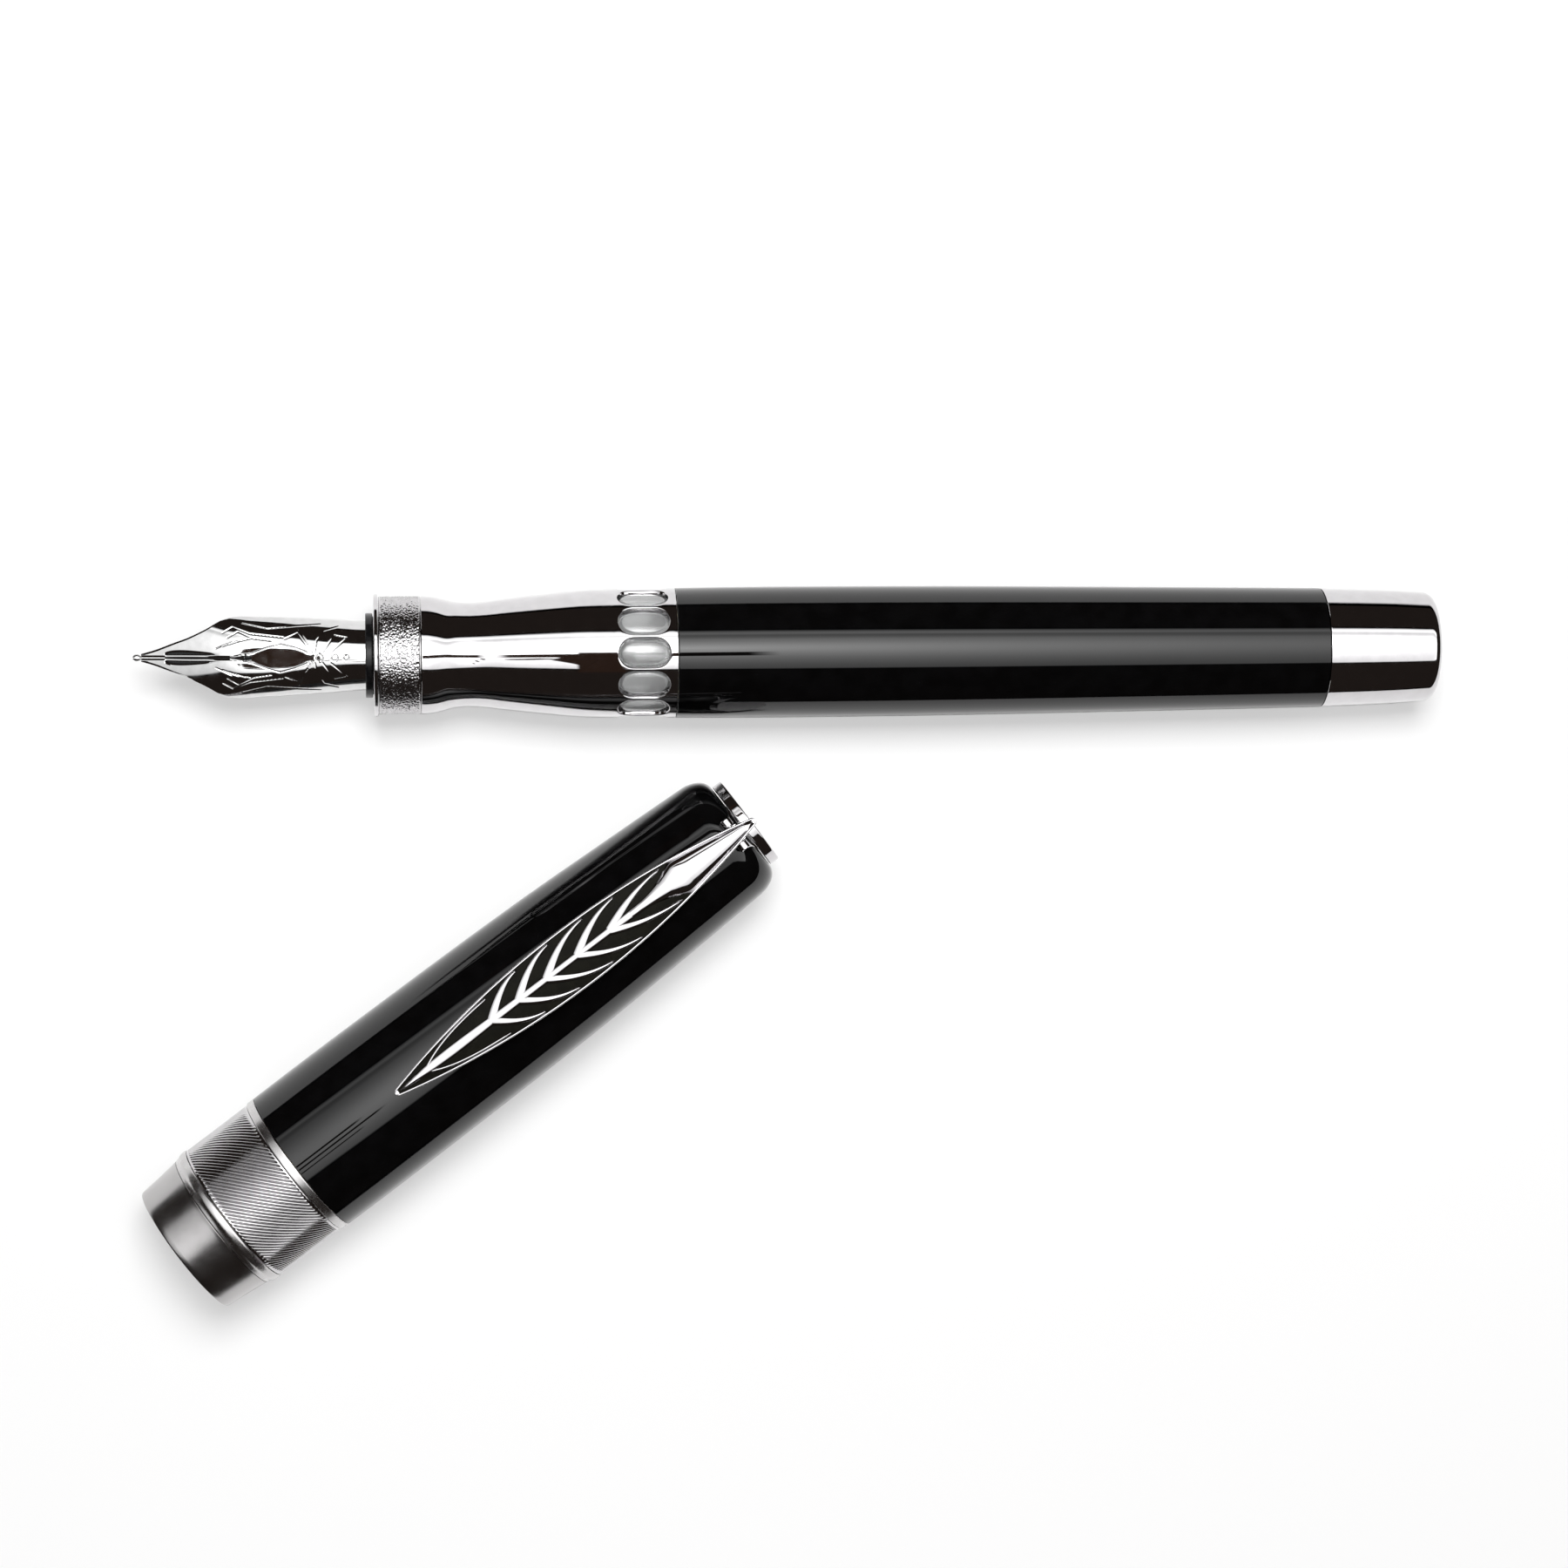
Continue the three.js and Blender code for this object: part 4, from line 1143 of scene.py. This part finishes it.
def make_clip():
    parts = [leaf_plate(), spine(), spear()]
    for side in (-1, 1):
        parts += [rib(root, tip, side) for root, tip in zip(RIB_ROOTS, RIB_TIPS)]
        parts += [blade(side), lug(side)]
    refine("clip_leaf", "clip", "chrome", *parts, sharp=40, weld=0)
    add_piece("clip_lacquer", "clip", "black_resin", "lacquer", [lacquer_floor()], weld=0)
    profile = [(0, 0)]
    for turn in spread(0, pi / 2, 8):
        profile.append((BEAD_LENGTH * cos(turn), BEAD_RADIUS * sin(turn)))
    vertices, faces = revolved(profile, closed=False, sides=40)
    down = Matrix.Translation((BEAD_X - PIN.x, 0, LEAF_LOW)) @ Matrix.Rotation(pi / 2, 4, "Y")
    bead = ([tuple(down @ Vector(v)) for v in vertices], faces)
    refine("clip_bead", "clip", "chrome", bead)


# ---- CAD nodes that stay, with a finished material ----

KEPT = {
    "ebonite": ["section_core"],
    "rubber": ["core_oring", "gland_oring_front", "gland_oring_rear", "knob_oring"],
    "brass": ["barrel_coupling", "knob_insert"],
    "nib_steel": ["plunger_nut", "rod_head", "finial_screw", "clip_pin", "clip_spring"],
    "liner": ["inner_cap"],
}


def paint_kept_nodes():
    for material, names in KEPT.items():
        for name in names:
            slots = frame["nodes"][name].data.materials
            slots.clear()
            slots.append(MATERIALS[material])


# ---- Stage: camera, floor, lights ----

CAMERA_PLACE = (25.34, 26.94, 456.06)  # from the nib's point
CAMERA_AIM = (68.57, -14.57, -6.88)
CAMERA_ROLL = radians(-0.64)
LENS, SENSOR = 100, 36
NEAREST, FURTHEST = 0.05, 20  # that the camera sees
BOX_HEIGHT = 0.62  # of the soft box above the floor
BOX_PLACE = 60  # along the pen
BOX_TURN = radians(-5)
BOX_CORNERS = ((-1.4, -0.5), (1.4, 1.0))  # in units of the box's height
BOX_CENTRE, BOX_SPREAD = 0.2, 0.27  # of the bright middle
BOX_BASE, BOX_PEAK = 0.6, 7.4  # brightness at its edges, and what its middle adds
BOX_LIFT = 1.6  # of the brightness, so that its levels stay within 1
BOX_END, BOX_END_RISE = 0.3, 1.5  # where the box grows brighter again, past the pen's end
BOX_LEVELS = (  # place across the box in units of its height, and share of the brightness
    (-0.47, 0.0), (-0.43, 0.95), (0.5, 1.0), (0.56, 0.8), (0.65, 0.7), (0.76, 1.6), (0.84, 1.1),
    (0.92, 0.0),
)
CAP_LINE_HEIGHT = 456
CARD_GLOW = (0.03, 0.017, 0.012, 1)
CARD_EDGE = 0.82  # where its soft edge starts, from its middle
CARDS = {  # two ends, the width and the height of each dark bar, in the pen's millimetres
    "strap": ((28, -0.3), (70, 1.0), 4.4, 40),
    "nib_card": ((8.6, -1.8), (16.2, -1.8), 9, 33.5),
    "low_card": ((44.4, -3.4), (51.8, -3.4), 11.6, 18.5),
    "low_tip": ((41.8, -0.4), (47.4, -3.6), 4.2, 18.4),
    "cap_line_one": ((-58, -64), (-31, -44), 22, CAP_LINE_HEIGHT),
    "cap_line_two": ((-26, -99), (4, -78), 20, CAP_LINE_HEIGHT),
    "cap_line_three": ((4, -139), (26, -122), 14, CAP_LINE_HEIGHT),
}
PAPER, PAPER_GLOW = 0.9, 0.5  # the glow keeps the shadows light
PAPER_FADE = (0.12, 0.3)  # from the middle of the floor, where the paper turns plain white
MATT = {"Roughness": 0.9, "Specular IOR Level": 0.0}
NEAR_HALF = 0.2
NEAR_SCALE, NEAR_FADE = (1 / 0.13, 1 / 0.1, 1), (0.92, 1.12)  # the oval where it turns black
NEAR_LIFT = 2e-5
WALL_RADIUS, WALL_HEIGHT, WALL_SIDES = 3.9, 3.0, 48
WALL_COLOUR = (0.98, 0.98, 0.98, 1)
ROOM_COLOUR = (0.019, 0.0145, 0.0125, 1)
LIGHTS = {  # place, size and the share of the floor's brightness
    "top_light": ((0, 0.08, 0.72), 0.5, 0.3),
    "key_light": ((-0.02, 0.27, 0.66), 0.24, 0.82),
}
FLOOR_HALF = 4
GLOSS_ONLY = {"camera": False, "diffuse": False, "transmission": False, "shadow": False}


def make_camera():
    place, aim = PEN @ Vector(CAMERA_PLACE), PEN @ Vector(CAMERA_AIM)
    back = (place - aim).normalized()
    right = (Vector((1, 0, 0)) - back.x * back).normalized()
    right = Matrix.Rotation(CAMERA_ROLL, 3, back) @ right
    turn = Matrix((right, back.cross(right), back)).transposed()
    data = bpy.data.cameras.new("camera")
    data.lens, data.sensor_width = LENS, SENSOR
    data.clip_start, data.clip_end = NEAREST, FURTHEST
    camera = new_object("camera", data)
    camera.matrix_world = Matrix.Translation(place) @ turn.to_4x4()
    bpy.context.scene.camera = camera


def stage_mesh(name, vertices, faces, seen, material):
    """A part of the stage. seen says which kinds of ray see it."""
    mesh = bpy.data.meshes.new(name)
    mesh.from_pydata(vertices, [], faces)
    mesh.materials.append(material)
    thing = new_object(name, mesh)
    for ray, visible in seen.items():
        setattr(thing, "visible_" + ray, visible)
    return thing


def rectangle(name, low, high, seen, material):
    """A level part of the stage, between two of its corners."""
    corners = [(x, y, 0) for x, y in (low, (high[0], low[1]), high, (low[0], high[1]))]
    return stage_mesh(name, corners, [[0, 1, 2, 3]], seen, material)


def sheet(name, half, seen, material):
    """A level square of the stage, from half its side."""
    return rectangle(name, (-half, -half), (half, half), seen, material)


def make_lights():
    """Area lights that each give the floor below the pen a share of its brightness."""
    for name, (place, size, share) in LIGHTS.items():
        data = bpy.data.lights.new(name, "AREA")
        data.shape = "SQUARE"
        data.size = size
        place = Vector(place)
        upright = place.z / place.length
        data.energy = share * pi / PAPER * pi * place.length_squared / upright
        light = new_object(name, data)
        turn = place.normalized().to_track_quat("Z", "Y").to_matrix().to_4x4()
        light.matrix_world = Matrix.Translation(place) @ turn
        light.visible_glossy = False


def make_softbox():
    """A large light overhead, brightest in its middle, that only reflections see."""
    material, tree, shader = new_material("softbox", "Emission")
    low, high = ([q * BOX_HEIGHT for q in corner] for corner in BOX_CORNERS)
    box = rectangle("softbox", low, high, GLOSS_ONLY, material)
    place = PEN @ Vector((BOX_PLACE, 0, 0))
    box.location = (place.x, place.y, BOX_HEIGHT)
    box.rotation_euler.z = BOX_TURN
    here = object_place(tree)
    centre = (0, BOX_CENTRE * BOX_HEIGHT, 0)
    distance = math_node(tree, "DISTANCE", here, centre, kind="VectorMath")
    reach = math_node(tree, "DIVIDE", distance, -BOX_SPREAD * BOX_HEIGHT)
    glow = math_node(tree, "EXPONENT", reach)
    glow = math_node(tree, "MULTIPLY_ADD", glow, BOX_PEAK * BOX_LIFT, BOX_BASE * BOX_LIFT)
    split = new_node(tree, "SeparateXYZ", {"Vector": here})
    rise = BOX_END_RISE * BOX_LIFT
    along = split.outputs["X"]
    end = math_node(tree, "MULTIPLY_ADD", along, rise / BOX_HEIGHT, -rise * BOX_END)
    glow = math_node(tree, "ADD", glow, math_node(tree, "MAXIMUM", end, 0))
    across = ranged(tree, split.outputs["Y"], 0, 1, low[1], high[1])
    levels = [
        ((q * BOX_HEIGHT - low[1]) / (high[1] - low[1]), [level / BOX_LIFT] * 3)
        for q, level in BOX_LEVELS
    ]
    fill(tree, shader, {"Color": ramped(tree, across, levels), "Strength": glow})


def make_cards():
    """Soft dark bars over the pen and beyond it, which only reflections see."""
    material, tree, shader = new_material("dark_card")
    split = new_node(tree, "SeparateXYZ", {"Vector": object_place(tree)})
    sides = [math_node(tree, "ABSOLUTE", split.outputs[axis]) for axis in "XY"]
    reach = math_node(tree, "MAXIMUM", *sides)
    dark = {"Base Color": (0, 0, 0, 1), "Specular IOR Level": 0.0, "Roughness": 1.0}
    glow = {"Emission Color": CARD_GLOW, "Emission Strength": 1.0}
    fill(tree, shader, {**dark, **glow, "Alpha": ranged(tree, reach, 1, 0, CARD_EDGE, 1)})
    for name, (start, end, width, height) in CARDS.items():
        a, b = (PEN @ Vector((*point, height)) for point in (start, end))
        card = sheet(name, 1, GLOSS_ONLY, material)
        card.location = (a + b) / 2
        card.scale = ((b - a).length / 2, width / 2 * MM, 1)
        card.rotation_euler.z = atan2(b.y - a.y, b.x - a.x)


def make_world():
    """A dark room."""
    world = bpy.data.worlds.new("room")
    bpy.context.scene.world = world
    world.use_nodes = True
    fill(world.node_tree, world.node_tree.nodes["Background"], {"Color": ROOM_COLOUR})


def make_backdrop():
    """A pale wall all round that only the camera sees."""
    turns = [tau * i / WALL_SIDES for i in range(WALL_SIDES)]
    ring = [(WALL_RADIUS * cos(t), WALL_RADIUS * sin(t)) for t in turns]
    vertices = [(x, y, z) for z in (-0.01, WALL_HEIGHT) for x, y in ring]
    material, tree, shader = new_material("wall", "Emission")
    fill(tree, shader, {"Color": WALL_COLOUR})
    unseen = {"diffuse": False, "glossy": False, "shadow": False}
    stage_mesh("backdrop", vertices, grid_faces(2, WALL_SIDES), unseen, material)


def radial_share(tree, low, high, start, end, scale=(1, 1, 1)):
    """Goes from low near the middle of the floor to high further out, on an oval."""
    place = new_node(tree, "Mapping", {"Scale": scale, "Vector": object_place(tree)})
    reach = math_node(tree, "LENGTH", place.outputs["Vector"], kind="VectorMath")
    return ranged(tree, reach, low, high, start, end)


def make_floor():
    """White paper that fades into plain white further out."""
    material, tree, shader = new_material("paper")
    fill(tree, shader, {**MATT, "Base Color": (PAPER, PAPER, PAPER, 1)})
    glow = new_node(tree, "Emission", {"Color": (1, 1, 1, 1)})
    share = radial_share(tree, PAPER_GLOW, 1, *PAPER_FADE)
    mix = {"Fac": share, 1: shader.outputs["BSDF"], 2: glow.outputs["Emission"]}
    show(tree, new_node(tree, "MixShader", mix))
    sheet("floor", FLOOR_HALF, {"glossy": False}, material)


def make_near_floor():
    """The part of the paper that reflections see, which ends a little way from the pen."""
    material, tree, shader = new_material("near_paper")
    share = radial_share(tree, 0, 1, *NEAR_FADE, NEAR_SCALE)
    colour = ramped(tree, share, ((0, [PAPER] * 3), (1, [0] * 3)))
    fill(tree, shader, {**MATT, "Base Color": colour})
    near = sheet("near_floor", NEAR_HALF, GLOSS_ONLY, material)
    near.location.z = NEAR_LIFT


def make_stage():
    make_camera()
    make_floor()
    make_near_floor()
    make_backdrop()
    make_lights()
    make_softbox()
    make_cards()
    make_world()
    view = bpy.context.scene.view_settings
    view.view_transform = "Standard"
    view.look = "None"
    view.exposure = 0.0


make_stage()
make_nib()
make_feed()
make_section_front()
make_grip_band()
make_grip()
make_chamber()
make_barrel()
make_plunger()
make_knob()
make_cap_mouth()
make_cap_band()
make_cap_tube()
make_cap_end()
make_clip()
paint_kept_nodes()
